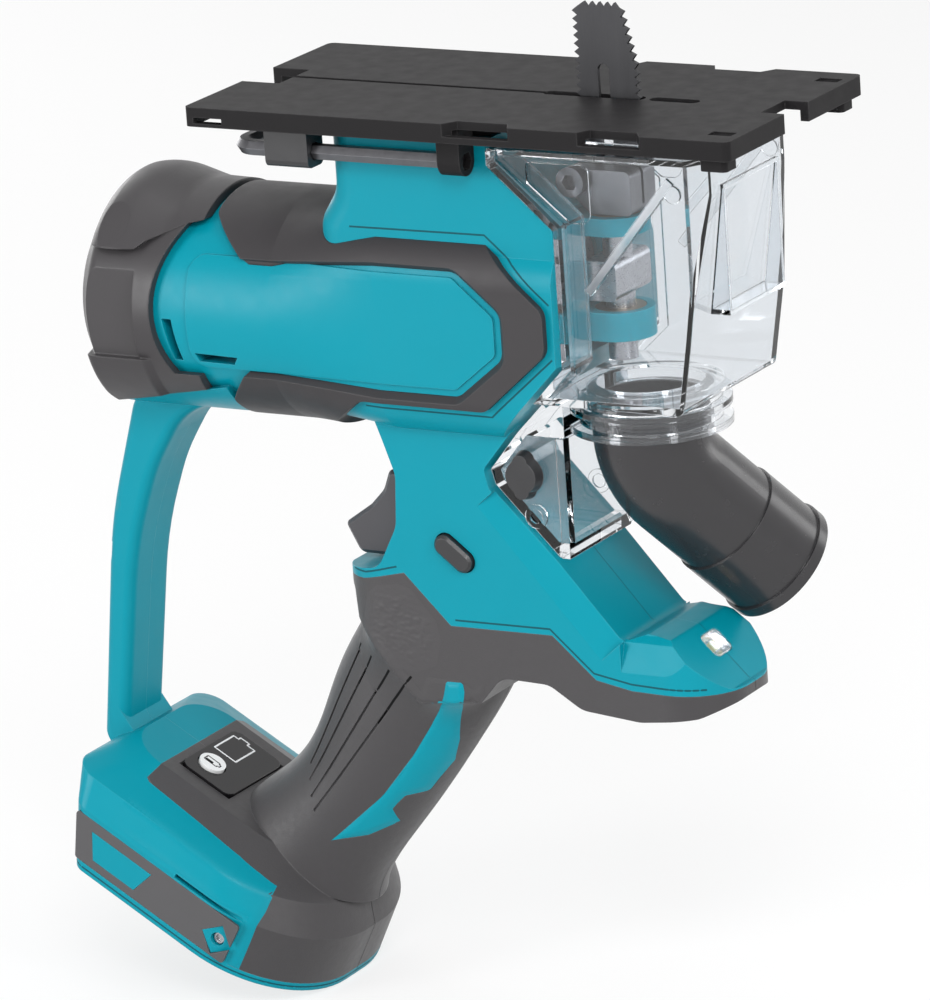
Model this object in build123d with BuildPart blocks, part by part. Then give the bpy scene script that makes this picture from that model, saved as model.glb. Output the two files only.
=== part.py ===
from build123d import *

import os
from math import acos, atan2, cos, degrees, pi, radians, sin, sqrt, tan

os.makedirs("parts", exist_ok=True)

# Frame: the blade stands on the Z axis, the work face of the shoe is Z = 0, +X is forward,
# +Y is left. The tool hangs below its shoe. Millimetres.

# Fits
run_gap = 0.05  # radial, shafts and rods in their bushes
seat_gap = 0.15  # around pieces that sit in a pocket
move_gap = 0.4  # beside pieces that move

# Shoe
shoe_length = 167.5
shoe_width = 79.0
shoe_front = 57.5
shoe_plate = 2.4
shoe_lip = 5.4
shoe_post = 8.8
shoe_rim = 2.5
shoe_rear = shoe_front - shoe_length
shoe_half = shoe_width / 2

# Blade
blade_left = -8.6
blade_right = 11.0
blade_top = 26.0
slot_width = 4.2
slot_rear = blade_left - 10.4
slot_front = blade_right + 1.0

# Motor barrel
barrel_drop = 64.0  # axis below the work face
barrel_radius = 30.3
barrel_rear = -132.0
barrel_round_end = -94.0  # the round stretch ends here
barrel_square_start = -60.0  # the squared stretch starts here
barrel_front = -4.5
barrel_square = 2 * barrel_radius - 2.6
barrel_square_radius = 13.0
band_rise = 2.2
panel_rise = 0.6  # the plain panel inside each band stands this proud
cap_rear = -158.5
cap_radius = barrel_radius + 2.7
hood_radius = cap_radius + 4.2
bumper_radius = cap_radius + 1.4
cap_flat = cap_radius - 3.0
hood_flat = cap_radius - 2.0

# Handle, grip, strut, foot and neck
handle_half = 20.5
skin = 2.0  # thickness of the rubber
strut_half = 10.5
strut_top = -92.0
saddle_radius = barrel_radius + 1.9
foot_tilt = 30.0
foot_origin = (-139.65, 0, -241.9)
foot_half = 39.5
foot_height = 33.3
neck_half = 26.0
neck_top = -7.6

# Battery recess in the foot, along and over the underside
rail_half = 26.5
recess_half = 30.0
recess_front = 32.0
recess_depth = 14.0
rail_low = 4.0
rail_high = 8.0

# Drive
module = 1.0
pinion_teeth = 9
gear_teeth = 27
gear_drop = barrel_drop - module * (pinion_teeth + gear_teeth) / 2
crank_throw = 3.0
stroke = 2 * crank_throw
crank_pin_r = 2.4
rod_x = 1.0
rod_r = 4.0
shaft_r = 2.5
yoke_r = 23.5
magnet_r = 21.0
core_r = 17.0
commutator_r = 9.0

# Dust box and nozzle
box_half = 27.0
box_wall = 1.8
box_top = -9.5
box_floor = -80.0
box_front = 42.0
box_corner = 37.0  # the front corners are cut from here
bracket_front = -9.5
nozzle_r = 16.5
nozzle_x = bracket_front + 1 + nozzle_r  # just clear of the bracket
nozzle_wall = 2.2
nozzle_swing = 55.0  # from straight ahead toward the left
nozzle_bend = -101.5
nozzle_reach = 52.0
bracket_half = 18.0

# Controls
trigger_half = 9.5
trigger_travel = 6.0
check_travel = 0.8

foot_plane = Plane(
    origin=foot_origin,
    x_dir=(cos(radians(foot_tilt)), 0, -sin(radians(foot_tilt))),
    z_dir=(sin(radians(foot_tilt)), 0, cos(radians(foot_tilt))),
)


def foot_xz(along, height):
    """X and Z of a point given along and over the underside of the foot."""
    point = foot_plane.from_local_coords((along, 0, height))
    return (point.X, point.Z)


def rounded(corners):
    """Closed outline from rows of two coordinates and a corner radius."""
    with BuildSketch() as outline:
        with BuildLine():
            FilletPolyline(
                *[(row[0], row[1]) for row in corners],
                radius=[row[2] for row in corners],
                close=True,
            )
        make_face()
    return outline.sketch


def side_prism(profile, low, high):
    """Solid with an X-Z profile between two Y values."""
    with BuildPart() as form:
        with BuildSketch(Plane.XZ.offset(-low)):
            add(profile)
        extrude(amount=low - high)
    return form.part


def block(x_low, x_high, half, z_low, z_high):
    """Box centred on the middle plane."""
    with BuildPart() as form:
        with BuildSketch(Plane.XY.offset(z_low)):
            with Locations(((x_low + x_high) / 2, 0)):
                Rectangle(x_high - x_low, 2 * half)
        extrude(amount=z_high - z_low)
    return form.part


def round_x(x_low, x_high, radius, drop):
    """Cylinder along X at a depth under the work face."""
    with BuildPart() as form:
        with BuildSketch(Plane.YZ.offset(x_low)):
            with Locations((0, -drop)):
                Circle(radius)
        extrude(amount=x_high - x_low)
    return form.part


def foot_block(low, high, half, under, over):
    """Box in the foot's own directions."""
    with BuildPart() as form:
        with BuildSketch(foot_plane.offset(under)):
            with Locations(((low + high) / 2, 0)):
                Rectangle(high - low, 2 * half)
        extrude(amount=over - under)
    return form.part


# Forms of the housing


def barrel_form(grow):
    """Round at the motor, squared at the gears, bevelled under the front."""
    radius = barrel_radius + grow
    square = barrel_square + 2 * grow
    corner = barrel_square_radius + grow
    front = barrel_front + grow
    with BuildPart() as form:
        with BuildSketch(Plane.YZ.offset(barrel_rear)):
            with Locations((0, -barrel_drop)):
                Circle(radius)
        extrude(amount=barrel_round_end - barrel_rear)
        with BuildSketch(Plane.YZ.offset(barrel_round_end)):
            with Locations((0, -barrel_drop)):
                Circle(radius)
        with BuildSketch(Plane.YZ.offset(barrel_square_start)):
            with Locations((0, -barrel_drop)):
                RectangleRounded(square, square, corner)
        loft()
        with BuildSketch(Plane.YZ.offset(barrel_square_start)):
            with Locations((0, -barrel_drop)):
                RectangleRounded(square, square, corner)
        extrude(amount=front - barrel_square_start)
        with BuildSketch(Plane.XZ):
            Polygon((front, -69), (front - 39, -110), (front + 9, -110), (front + 9, -69))
        extrude(amount=2 * barrel_radius, both=True, mode=Mode.SUBTRACT)
    return form.part


neck_outline = [
    (-74.5, neck_top, 0),
    (-74.5, -25, 9),
    (-80, -33.5, 9.5),
    (-80, -50, 0),
    (barrel_front, -50, 0),
    (barrel_front, -31.5, 2),
    (-23.6, -14.7, 2),
    (-23.6, neck_top, 0),
]


def neck_form():
    """Stands on the barrel and carries the shoe."""
    with BuildPart() as form:
        with BuildSketch(Plane.XZ):
            add(rounded(neck_outline))
        extrude(amount=neck_half, both=True)
        on_side = form.edges().filter_by(lambda e: abs(abs(e.center().Y) - neck_half) < 0.01)
        fillet(on_side.filter_by(lambda e: e.center().X < -73 and e.center().Z > -49), 8)
    return form.part


ramp_high = (-13, -128)
ramp_low = (5, -148.5)
hood_edge = (19, -147.4)
nose_edge = (33.6, -161.6)
handle_outline = [
    (-72, -80, 0),
    (-66, -96, 6),
    (-62.5, -106, 8),
    (-63.5, -121, 8),
    (-70, -133.5, 6),
    (-86, -136.2, 1.2),
    (-86, -139.6, 1.2),
    (-81.5, -141.5, 2),
    (-80, -150, 0),
    (-60, -172, 0),
    (-40, -170, 0),
    (-33, -162, 6),
    (-18, -162.5, 7),
    (-8, -168.8, 8),
    (10, -170.5, 12),
    (27, -168.6, 8),
    (36, -165, 2.5),
    (35.6, -161.8, 1.4),
    (*nose_edge, 0),
    (*hood_edge, 2),
    (11.5, -146.4, 2.5),
    (*ramp_low, 3),
    (*ramp_high, 4),
    (-33, -107.5, 3),
    (-34.2, -102, 2),
    (-25, -91, 0),
    (-25, -80, 0),
]
nose_tip = 35.2
nose_corner = 17.5
bevel_in = 2.0
bevel_down = 8.0
hood_half = 15.5
lip_end = -86.0
lip_corner = 17.0


def nose_bevels(half):
    """Steep facets beside the ramp of the nose and narrowing flanks beside its lamp hood."""
    down = Vector(ramp_low[0] - ramp_high[0], 0, ramp_low[1] - ramp_high[1])
    start = Vector(ramp_high[0], 0, ramp_high[1]) - down
    with BuildPart() as form:
        for side in (-1, 1):
            with BuildSketch(Plane(origin=start, x_dir=(0, 1, 0), z_dir=down)):
                Polygon(
                    (side * (half - bevel_in - bevel_in / bevel_down), 1),
                    (side * (half + bevel_in), 1),
                    (side * (half + bevel_in), -2 * bevel_down),
                )
            extrude(amount=2 * down.length)
            with BuildSketch(Plane.YZ.offset(ramp_low[0])):
                Polygon(
                    (side * half, ramp_low[1] - bevel_down),
                    (side * (half - bevel_in - 0.6), ramp_low[1]),
                    (side * hood_half, hood_edge[1] + 0.6),
                    (side * hood_half, hood_edge[1] + 9),
                    (side * (half + 1), hood_edge[1] + 9),
                    (side * (half + 1), ramp_low[1] - bevel_down),
                )
            extrude(amount=nose_tip)
    return form.part


def handle_form(inset):
    """Stem behind the dust box, lip under the trigger finger and the nose with the lamp."""
    half = handle_half - inset
    tip = nose_tip - inset
    with BuildSketch() as profile:
        add(rounded(handle_outline))
        if inset:
            offset(amount=-inset, kind=Kind.INTERSECTION)
    with BuildPart() as form:
        with BuildSketch(Plane.XZ):
            add(profile.sketch)
        extrude(amount=half, both=True)
        with BuildSketch(Plane.XY.offset(-60)):
            add(
                rounded(
                    [
                        (lip_end + inset, -half, lip_corner),
                        (tip, -half, nose_corner),
                        (tip, half, nose_corner),
                        (lip_end + inset, half, lip_corner),
                    ]
                )
            )
        extrude(amount=-120, mode=Mode.INTERSECT)
        add(nose_bevels(half), mode=Mode.SUBTRACT)
    return form.part


# Grip sections: centre X, centre Z, lean from the vertical, half depth, half width
grip_sections = [
    (-60.0, -150.0, 20, 24.0, 19.5),
    (-65.6, -164.5, 25, 23.6, 18.4),
    (-77.4, -182.9, 28, 22.6, 17.6),
    (-87.7, -199.7, 31, 20.4, 17.4),
    (-99.6, -213.6, 35, 20.6, 18.2),
    (-110.0, -226.0, 36, 24.0, 21.0),
]


def grip_plane(x, z, lean):
    a = radians(lean)
    return Plane((x, 0, z), (cos(a), 0, -sin(a)), (sin(a), 0, cos(a)))


def grip_form():
    """Leaning handle, oval all the way."""
    with BuildPart() as form:
        for x, z, lean, depth, width in grip_sections:
            with BuildSketch(grip_plane(x, z, lean)):
                Ellipse(depth, width)
        loft()
    return form.part


def grip_core(inset, sides):
    """Many-sided core a little inside the oval of the grip."""
    angles = [2 * pi * i / sides for i in range(sides)]
    with BuildPart() as form:
        for x, z, lean, depth, width in grip_sections:
            with BuildSketch(grip_plane(x, z, lean)):
                Polygon(*[((depth - inset) * cos(t), (width - inset) * sin(t)) for t in angles])
        loft(ruled=True)
    return form.part


# Foot sections: height over the underside, rear end, front end, half width, rear and front radius
foot_sections = [
    (0.0, -33.0, 45.0, foot_half, 4, 34),
    (18.0, -41.0, 44.0, foot_half, 5, 35),
    (26.0, -47.0, 38.0, foot_half - 3.5, 8, 33),
    (foot_height, -41.0, 25.0, foot_half - 19, 12, 19),
]


def foot_form(inset):
    """Battery foot, square to the grip."""
    with BuildPart() as form:
        for height, rear, front, half, rear_r, front_r in foot_sections:
            level = min(max(height, inset), foot_height - inset)
            w = half - inset
            with BuildSketch(foot_plane.offset(level)):
                add(
                    rounded(
                        [
                            (rear + inset, -w, rear_r - inset),
                            (front - inset, -w, front_r - inset),
                            (front - inset, w, front_r - inset),
                            (rear + inset, w, rear_r - inset),
                        ]
                    )
                )
        loft(ruled=True)
    return form.part


def strut_form():
    """Slim bar from under the barrel's rear end down to the foot."""
    with BuildPart() as form:
        with BuildSketch(Plane.XZ):
            with BuildLine():
                FilletPolyline(
                    (-152, strut_top),
                    (-154.4, -95.2),
                    (-165.2, -131),
                    (-173, -194.2),
                    (-163, -210),
                    (-150, -212),
                    (-164.6, -191),
                    (-157.2, -138),
                    (-148.5, -114.5),
                    (-136, -94.8),
                    (-118, -94),
                    (-118, strut_top + 4),
                    radius=[0, 12, 150, 0, 0, 0, 0, 120, 60, 20, 0, 0],
                    close=True,
                )
            make_face()
        extrude(amount=strut_half, both=True)
        on_side = form.edges().filter_by(lambda e: abs(abs(e.center().Y) - strut_half) < 0.01)
        fillet(on_side.filter_by(lambda e: -190 < e.center().Z < -100), 3)
    return form.part


saddle_front = (-112, -83.4)
saddle_rear = (-153, -91.9)


def saddle_form():
    """Seat of the rear cover, over the strut."""
    with BuildPart() as form:
        add(round_x(saddle_rear[0], saddle_front[0], saddle_radius, barrel_drop))
        low = -barrel_drop - saddle_radius - 1
        with BuildSketch(Plane.XZ):
            Polygon(saddle_front, saddle_rear, (saddle_rear[0], low), (saddle_front[0], low))
        extrude(amount=cap_radius, both=True, mode=Mode.INTERSECT)
    return form.part


def battery_space():
    """Room for a slide-on battery, with a rail along each side."""
    space = foot_block(-60, recess_front, rail_half, -2, recess_depth)
    space += foot_block(-60, recess_front, recess_half, -2, rail_low)
    space += foot_block(-60, recess_front, recess_half, rail_high, recess_depth)
    return space


# Areas and rooms of the housing

crescent_outline = [
    (-54.6, -167.2, 0.8),
    (-49.8, -167.2, 1.2),
    (-52.0, -180.0, 20),
    (-59.1, -193.5, 14),
    (-66.6, -202.6, 2),
    (-72.0, -203.3, 2),
    (-76.5, -207.7, 2),
    (-76.2, -212.4, 2),
    (-84.0, -215.8, 3),
    (-93.9, -217.2, 0.6),
    (-77.5, -203.0, 20),
    (-65.6, -188.5, 20),
    (-57.3, -175.5, 10),
]

with BuildSketch() as rubber_area:
    Polygon(
        (-100, -139.2),
        (-76, -137.4),
        (-62, -134.2),
        (-48, -148.3),
        (-16, -148.0),
        (-3, -159.6),
        (8, -161.6),
        (40, -162.4),
        (40, -190),
        foot_xz(70, 20),
        foot_xz(70, 2.5),
        foot_xz(22, 2.5),
        foot_xz(22, 19),
        foot_xz(-28, 30.5),
        foot_xz(-28, 50),
    )
    add(rounded(crescent_outline), mode=Mode.SUBTRACT)

gear_rear = -52.0
gear_split = -42.0
gear_front = -10.0
gear_half = 20.0
gear_top = -28.0
gear_bottom = -81.0
with BuildSketch() as gear_outline:
    Polygon(
        (gear_rear, gear_top),
        (gear_front - 4, gear_top),
        (gear_front, gear_top - 4),
        (gear_front, -69),
        (gear_front - 11, gear_bottom),
        (gear_rear, gear_bottom),
    )
with BuildSketch() as gear_room:
    add(gear_outline.sketch)
    offset(amount=seat_gap, kind=Kind.INTERSECTION)

window_half = 11.5
window_low = -70.0
window_high = -29.0

switch_low = -50.0
switch_high = -37.0
switch_half = 9.0
switch_bottom = -119.0
switch_top = -106.0

trigger_end = -58.5
trigger_bottom = -133.6
trigger_top = -108.5

lock_centre = (-45.1, -126.9)
lock_length = 13.0
lock_height = 6.0
lock_lean = -38.0
lock_travel = 2.0

lamp_share = 0.34  # of the way down the face under the lamp hood
lamp_at = (
    hood_edge[0] + lamp_share * (nose_edge[0] - hood_edge[0]),
    0,
    hood_edge[1] + lamp_share * (nose_edge[1] - hood_edge[1]),
)
lamp_lean = degrees(atan2(hood_edge[1] - nose_edge[1], nose_edge[0] - hood_edge[0]))
lamp_plane = Plane(
    origin=lamp_at,
    x_dir=(cos(radians(lamp_lean)), 0, -sin(radians(lamp_lean))),
    z_dir=(sin(radians(lamp_lean)), 0, cos(radians(lamp_lean))),
)
lamp_length = 7.6
lamp_width = 9.8
lamp_depth = 4.0
board_depth = 1.6

panel_rear = -25.0
panel_front = -7.0
panel_half = 15.0
panel_under = 31.5
panel_over = 34.2

controller_rear = -20.0
controller_front = 14.0
controller_half = 22.0
controller_under = 17.0
controller_over = 26.0

plate_depth = 0.8
slit_depth = 2.0
screw_island = (16.4, 8.4)
with BuildSketch() as plate_outline:
    add(rounded([(-33, 2.8, 1), (21, 2.8, 1), (21, 16.4, 1), (-38.6, 16.4, 1)]))
    with Locations(screw_island):
        RegularPolygon(5.2, 4, mode=Mode.SUBTRACT)
    Polygon((-31.5, 13.2), (-9.5, 13.2), (-12.6, 5.2), (-27.6, 5.2), mode=Mode.SUBTRACT)
with BuildSketch() as plate_room:
    add(plate_outline.sketch)
    offset(amount=seat_gap / 2, kind=Kind.INTERSECTION)
foot_side = Plane(origin=foot_origin, x_dir=foot_plane.x_dir, z_dir=(0, -1, 0))

wrench_y = -neck_half - 4.2
wrench_z = -12.5
wrench_flats = 4.0
wrench_corner = wrench_flats / sqrt(3)
wrench_front = -29.0
wrench_rear = -99.5
wrench_leg = 18.0


def lock_prism(grow, low, high):
    """Rounded bar across the handle."""
    with BuildSketch() as profile:
        with Locations(lock_centre):
            SlotOverall(lock_length + 2 * grow, lock_height + 2 * grow, rotation=lock_lean)
    return side_prism(profile.sketch, low, high)


def lamp_room():
    with BuildPart() as form:
        with BuildSketch(lamp_plane.offset(2)):
            RectangleRounded(lamp_length + 2 * seat_gap, lamp_width + 2 * seat_gap, 2)
        extrude(amount=-2 - lamp_depth - seat_gap)
        with BuildSketch(lamp_plane.offset(-lamp_depth)):
            Rectangle(lamp_length + 2 + 2 * seat_gap, lamp_width + 2 + 2 * seat_gap)
        extrude(amount=-board_depth - 2 * seat_gap)
    return form.part


def plate_rooms():
    """Shallow rooms for the two side plates of the foot, with a screw hole in each."""
    with BuildPart() as form:
        for side in (-1, 1):
            with BuildSketch(foot_side.offset(foot_half - plate_depth if side < 0 else -foot_half - 1)):
                add(plate_room.sketch)
            extrude(amount=plate_depth + 1)
            with BuildSketch(foot_side.offset(foot_half - 4 if side < 0 else -foot_half - 1)):
                with Locations(screw_island):
                    Circle(2)
            extrude(amount=5)
    return form.part


def foot_slits():
    """Slit along the lower edge of the plain panel on each side of the foot."""
    with BuildPart() as form:
        for side in (-1, 1):
            with BuildSketch(foot_side.offset(foot_half - slit_depth if side < 0 else -foot_half - 1)):
                Polygon((-3, 17.1), (24, 17.1), (24, 18.4), (-3, 18.4))
            extrude(amount=slit_depth + 1)
    return form.part


def vent_slots():
    with BuildPart() as form:
        with BuildSketch(Plane.XZ):
            Polygon((-128.7, -63.6), (-125.6, -63.6), (-123.9, -75.8), (-126.6, -75.8))
            Polygon((-119, -73), (-105.3, -73.4), (-106.8, -75.7), (-118, -75.5))
        extrude(amount=2 * barrel_radius, both=True)
    return form.part


# Bands round the barrel and the panel that each leaves free

band_outline = [
    (-116.5, -25, 0),
    (-116.5, -35.5, 3),
    (-101, -47.5, 0),
    (-101, -75.5, 0),
    (-112, -88, 3),
    (-112, -100, 0),
    (-80, -100, 0),
    (-80, -92, 3),
    (-66, -82.4, 6),
    (-26.4, -82.4, 4),
    (-6.6, -65.0, 5),
    (-6.6, -53.0, 5),
    (-26.4, -35.8, 4),
    (-68, -36.2, 4),
    (-77, -30.8, 0),
    (-77, -25, 0),
]
panel_start = -120.4
panel_margin = 0.6
band_panel = [
    (-125, -46.2, 0),
    (-35.3, -46.2, 2),
    (-23.4, -56.2, 2),
    (-23.4, -66.4, 2),
    (-36, -76.6, 2),
    (-125, -76.6, 0),
]


def panel_form():
    """Plain panels inside the bands, rounded at the rear end."""
    with BuildSketch() as area:
        add(rounded(band_panel))
        offset(amount=panel_margin, kind=Kind.INTERSECTION)
        with Locations((panel_start - 50, -barrel_drop)):
            Rectangle(100, 100, mode=Mode.SUBTRACT)
        fillet(area.vertices().group_by(Axis.X)[0], 5)
    with BuildPart() as form:
        add(barrel_form(panel_rise))
        add(side_prism(area.sketch, -60, 60), mode=Mode.INTERSECT)
        add(block(barrel_rear, barrel_front, barrel_radius / 2, -100, -20), mode=Mode.SUBTRACT)
    return form.part


# Housing, first as one form, then its two halves

body = barrel_form(0) + panel_form() + neck_form() + handle_form(0) + grip_form()
body += foot_form(0) + strut_form() + saddle_form()
core = handle_form(skin) + grip_core(skin, 16) + foot_form(skin)

rooms = round_x(barrel_rear - 1, gear_rear, yoke_r + seat_gap, barrel_drop)
rooms += side_prism(gear_room.sketch, -gear_half - seat_gap, gear_half + seat_gap)
rooms += block(gear_front - 2, barrel_front + 5, window_half, window_low, window_high)
rooms += block(
    switch_low - 2,
    switch_high + seat_gap,
    switch_half + seat_gap,
    switch_bottom - seat_gap,
    switch_top + seat_gap,
)
rooms += block(
    -95,
    trigger_end + trigger_travel + 1,
    trigger_half + move_gap,
    trigger_bottom - move_gap,
    trigger_top + move_gap,
)
rooms += lock_prism(move_gap, -30, 30)
rooms += lamp_room()
rooms += foot_block(
    panel_rear - seat_gap,
    panel_front + seat_gap,
    panel_half + seat_gap,
    panel_under - seat_gap,
    panel_over + 9,
)
rooms += foot_block(
    controller_rear - seat_gap,
    controller_front + seat_gap,
    controller_half + seat_gap,
    controller_under - seat_gap,
    controller_over + seat_gap,
)
rooms += battery_space()
rooms += plate_rooms()
rooms += vent_slots()
rooms += foot_slits()

# Grooves in the sides of the grip, from their upper to their lower end
groove_width = 0.7
groove_depth = 0.7
grip_grooves = [
    ((-82.9, -161.0), (-101.8, -196.6)),
    ((-77.3, -161.9), (-101.3, -200.9)),
    ((-70.5, -163.9), (-100.2, -205.2)),
    ((-63.1, -164.9), (-99.1, -209.0)),
]
with BuildPart() as grooves:
    with BuildSketch(Plane.XZ):
        for high, low in grip_grooves:
            with BuildLine():
                Line(high, low)
            trace(line_width=groove_width)
    extrude(amount=2 * handle_half, both=True)
    add(grip_core(groove_depth, 32), mode=Mode.SUBTRACT)

body -= grooves.part

with BuildPart() as rubber:
    add(body)
    add(side_prism(rubber_area.sketch, -60, 60), mode=Mode.INTERSECT)
    add(core, mode=Mode.SUBTRACT)

with BuildPart() as shell:
    add(body)
    add(rubber.part, mode=Mode.SUBTRACT)
    add(rooms, mode=Mode.SUBTRACT)

with BuildPart() as housing_right:
    add(shell.part)
    split(bisect_by=Plane.XZ, keep=Keep.TOP)
housing_right.part.label = "housing_right"
export_step(housing_right.part, "parts/housing_right.step")

with BuildPart() as housing_left:
    add(shell.part)
    split(bisect_by=Plane.XZ, keep=Keep.BOTTOM)
housing_left.part.label = "housing_left"
export_step(housing_left.part, "parts/housing_left.step")

with BuildPart() as grip_right:
    add(rubber.part)
    add(rooms, mode=Mode.SUBTRACT)
    split(bisect_by=Plane.XZ, keep=Keep.TOP)
grip_right.part.label = "grip_right"
export_step(grip_right.part, "parts/grip_right.step")

with BuildPart() as grip_left:
    add(rubber.part)
    add(rooms, mode=Mode.SUBTRACT)
    split(bisect_by=Plane.XZ, keep=Keep.BOTTOM)
grip_left.part.label = "grip_left"
export_step(grip_left.part, "parts/grip_left.step")

# Plates in the sides of the foot

with BuildPart() as side_plate_right:
    with BuildSketch(foot_side.offset(foot_half - plate_depth)):
        add(plate_outline.sketch)
    extrude(amount=plate_depth)
side_plate_right.part.label = "side_plate_right"
export_step(side_plate_right.part, "parts/side_plate_right.step")

with BuildPart() as side_plate_left:
    with BuildSketch(foot_side.offset(-foot_half)):
        add(plate_outline.sketch)
    extrude(amount=plate_depth)
side_plate_left.part.label = "side_plate_left"
export_step(side_plate_left.part, "parts/side_plate_left.step")

# Dark bands round the barrel


def band_form(side):
    """Raised band open to the rear round the plain panel on one side."""
    panel_y = barrel_square / 2 - 3
    with BuildPart() as form:
        add(barrel_form(band_rise))
        add(side_prism(rounded(band_outline), min(0, side * 60), max(0, side * 60)), mode=Mode.INTERSECT)
        add(barrel_form(0), mode=Mode.SUBTRACT)
        add(neck_form(), mode=Mode.SUBTRACT)
        with BuildSketch(Plane.XZ.offset(-side * panel_y)):
            add(rounded(band_panel))
        extrude(amount=-side * 9, taper=-40, mode=Mode.SUBTRACT)
        add(panel_form(), mode=Mode.SUBTRACT)
    return form.part


with BuildPart() as band_right:
    add(band_form(-1))
band_right.part.label = "band_right"
export_step(band_right.part, "parts/band_right.step")

with BuildPart() as band_left:
    add(band_form(1))
band_left.part.label = "band_left"
export_step(band_left.part, "parts/band_left.step")

# Rear cover

bearing_width = 6.0
rear_bearing_x = -141.0
motor_bearing_r = 8.0


def cover_ring(profile):
    """Turned form round the motor axis from rows of X, radius and corner radius."""
    with BuildPart() as form:
        with BuildSketch(Plane.XZ):
            with Locations((0, -barrel_drop)):
                add(rounded(profile))
        revolve(axis=Axis((0, 0, -barrel_drop), (1, 0, 0)))
    return form.part


hood_low = -44.5
flat_front = -136.5
bumper_high = -75.4
cover_front = -118.5

with BuildPart() as cover_hood:
    add(
        cover_ring(
            [
                (cap_rear - 0.5, 0, 0),
                (cap_rear - 0.5, hood_radius - 16.2, 6),
                (-151, hood_radius - 2, 10),
                (-144, hood_radius, 20),
                (-129, cap_radius + 0.3, 12),
                (cover_front, cap_radius, 0),
                (cover_front, 0, 0),
            ]
        )
    )
    with BuildSketch(Plane.XZ):
        Polygon(
            (-170, hood_low),
            (flat_front, hood_low),
            (flat_front + 2.5, hood_low + 1.9),
            (-123, -38),
            (-110, -37),
            (-110, 0),
            (-170, 0),
        )
    extrude(amount=2 * hood_radius, both=True, mode=Mode.INTERSECT)
    # flat facet on each side
    for side in (-1, 1):
        facet = Plane(
            origin=(-145, side * hood_flat, hood_low),
            x_dir=(1, side * 0.13, 0),
            z_dir=Vector(1, side * 0.13, 0).cross(Vector(0, -side, 1)) * -side,
        )
        with BuildSketch(facet):
            Rectangle(90, 90)
        extrude(amount=12, mode=Mode.SUBTRACT)

with BuildPart() as cover_bumper:
    add(
        cover_ring(
            [
                (cap_rear + 1, 0, 0),
                (cap_rear + 1, bumper_radius - 12.4, 0),
                (-153, bumper_radius, 2),
                (-134.5, bumper_radius, 2),
                (-131, cap_radius - 1, 0),
                (-131, 0, 0),
            ]
        )
    )
    with BuildSketch(Plane.XZ):
        Polygon(
            (-170, bumper_high),
            (-110, bumper_high),
            (-110, -100),
            (-147, -100),
            (-157, bumper_high - 3.6),
            (-170, bumper_high - 3.6),
        )
    extrude(amount=2 * hood_radius, both=True, mode=Mode.INTERSECT)

with BuildPart() as rear_cover:
    add(
        cover_ring(
            [
                (cap_rear, 0, 0),
                (cap_rear, cap_radius - 9, 3),
                (-151, cap_radius, 5),
                (cover_front, cap_radius, 0),
                (cover_front, 0, 0),
            ]
        )
    )
    # flat sides between the hood and the bumper
    for side in (-1, 1):
        with BuildSketch(Plane.XZ.offset(side * cap_flat)):
            Polygon(
                (-170, hood_low),
                (flat_front, hood_low),
                (flat_front, bumper_high),
                (-170, bumper_high),
            )
        extrude(amount=side * 10, mode=Mode.SUBTRACT)
    add(cover_hood.part)
    add(cover_bumper.part)
    # the front edge runs back at mid height
    with BuildSketch(Plane.XZ):
        with BuildLine():
            Polyline((-126.5, -79.6), (-90, -79.6), (-90, -20), (-119, -20), (-119, -37.4), (-123.5, -38.4))
            ThreePointArc((-123.5, -38.4), (-131, -60), (-126.5, -79.6))
        make_face()
    extrude(amount=2 * hood_radius, both=True, mode=Mode.SUBTRACT)
    # seats on the barrel, the saddle and the rear bearing
    add(round_x(barrel_rear - seat_gap, -100, barrel_radius + seat_gap, barrel_drop), mode=Mode.SUBTRACT)
    with BuildSketch(Plane.XZ):
        Polygon(
            (saddle_front[0], saddle_front[1] + seat_gap),
            (saddle_rear[0], saddle_rear[1] + seat_gap),
            (-175, saddle_rear[1] + seat_gap),
            (-175, -110),
            (saddle_front[0], -110),
        )
    extrude(amount=2 * hood_radius, both=True, mode=Mode.SUBTRACT)
    bearing_room = round_x(rear_bearing_x - 1, barrel_rear, motor_bearing_r + seat_gap, barrel_drop)
    add(bearing_room, mode=Mode.SUBTRACT)
rear_cover.part.label = "rear_cover"
export_step(rear_cover.part, "parts/rear_cover.step")

# Shoe

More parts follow.
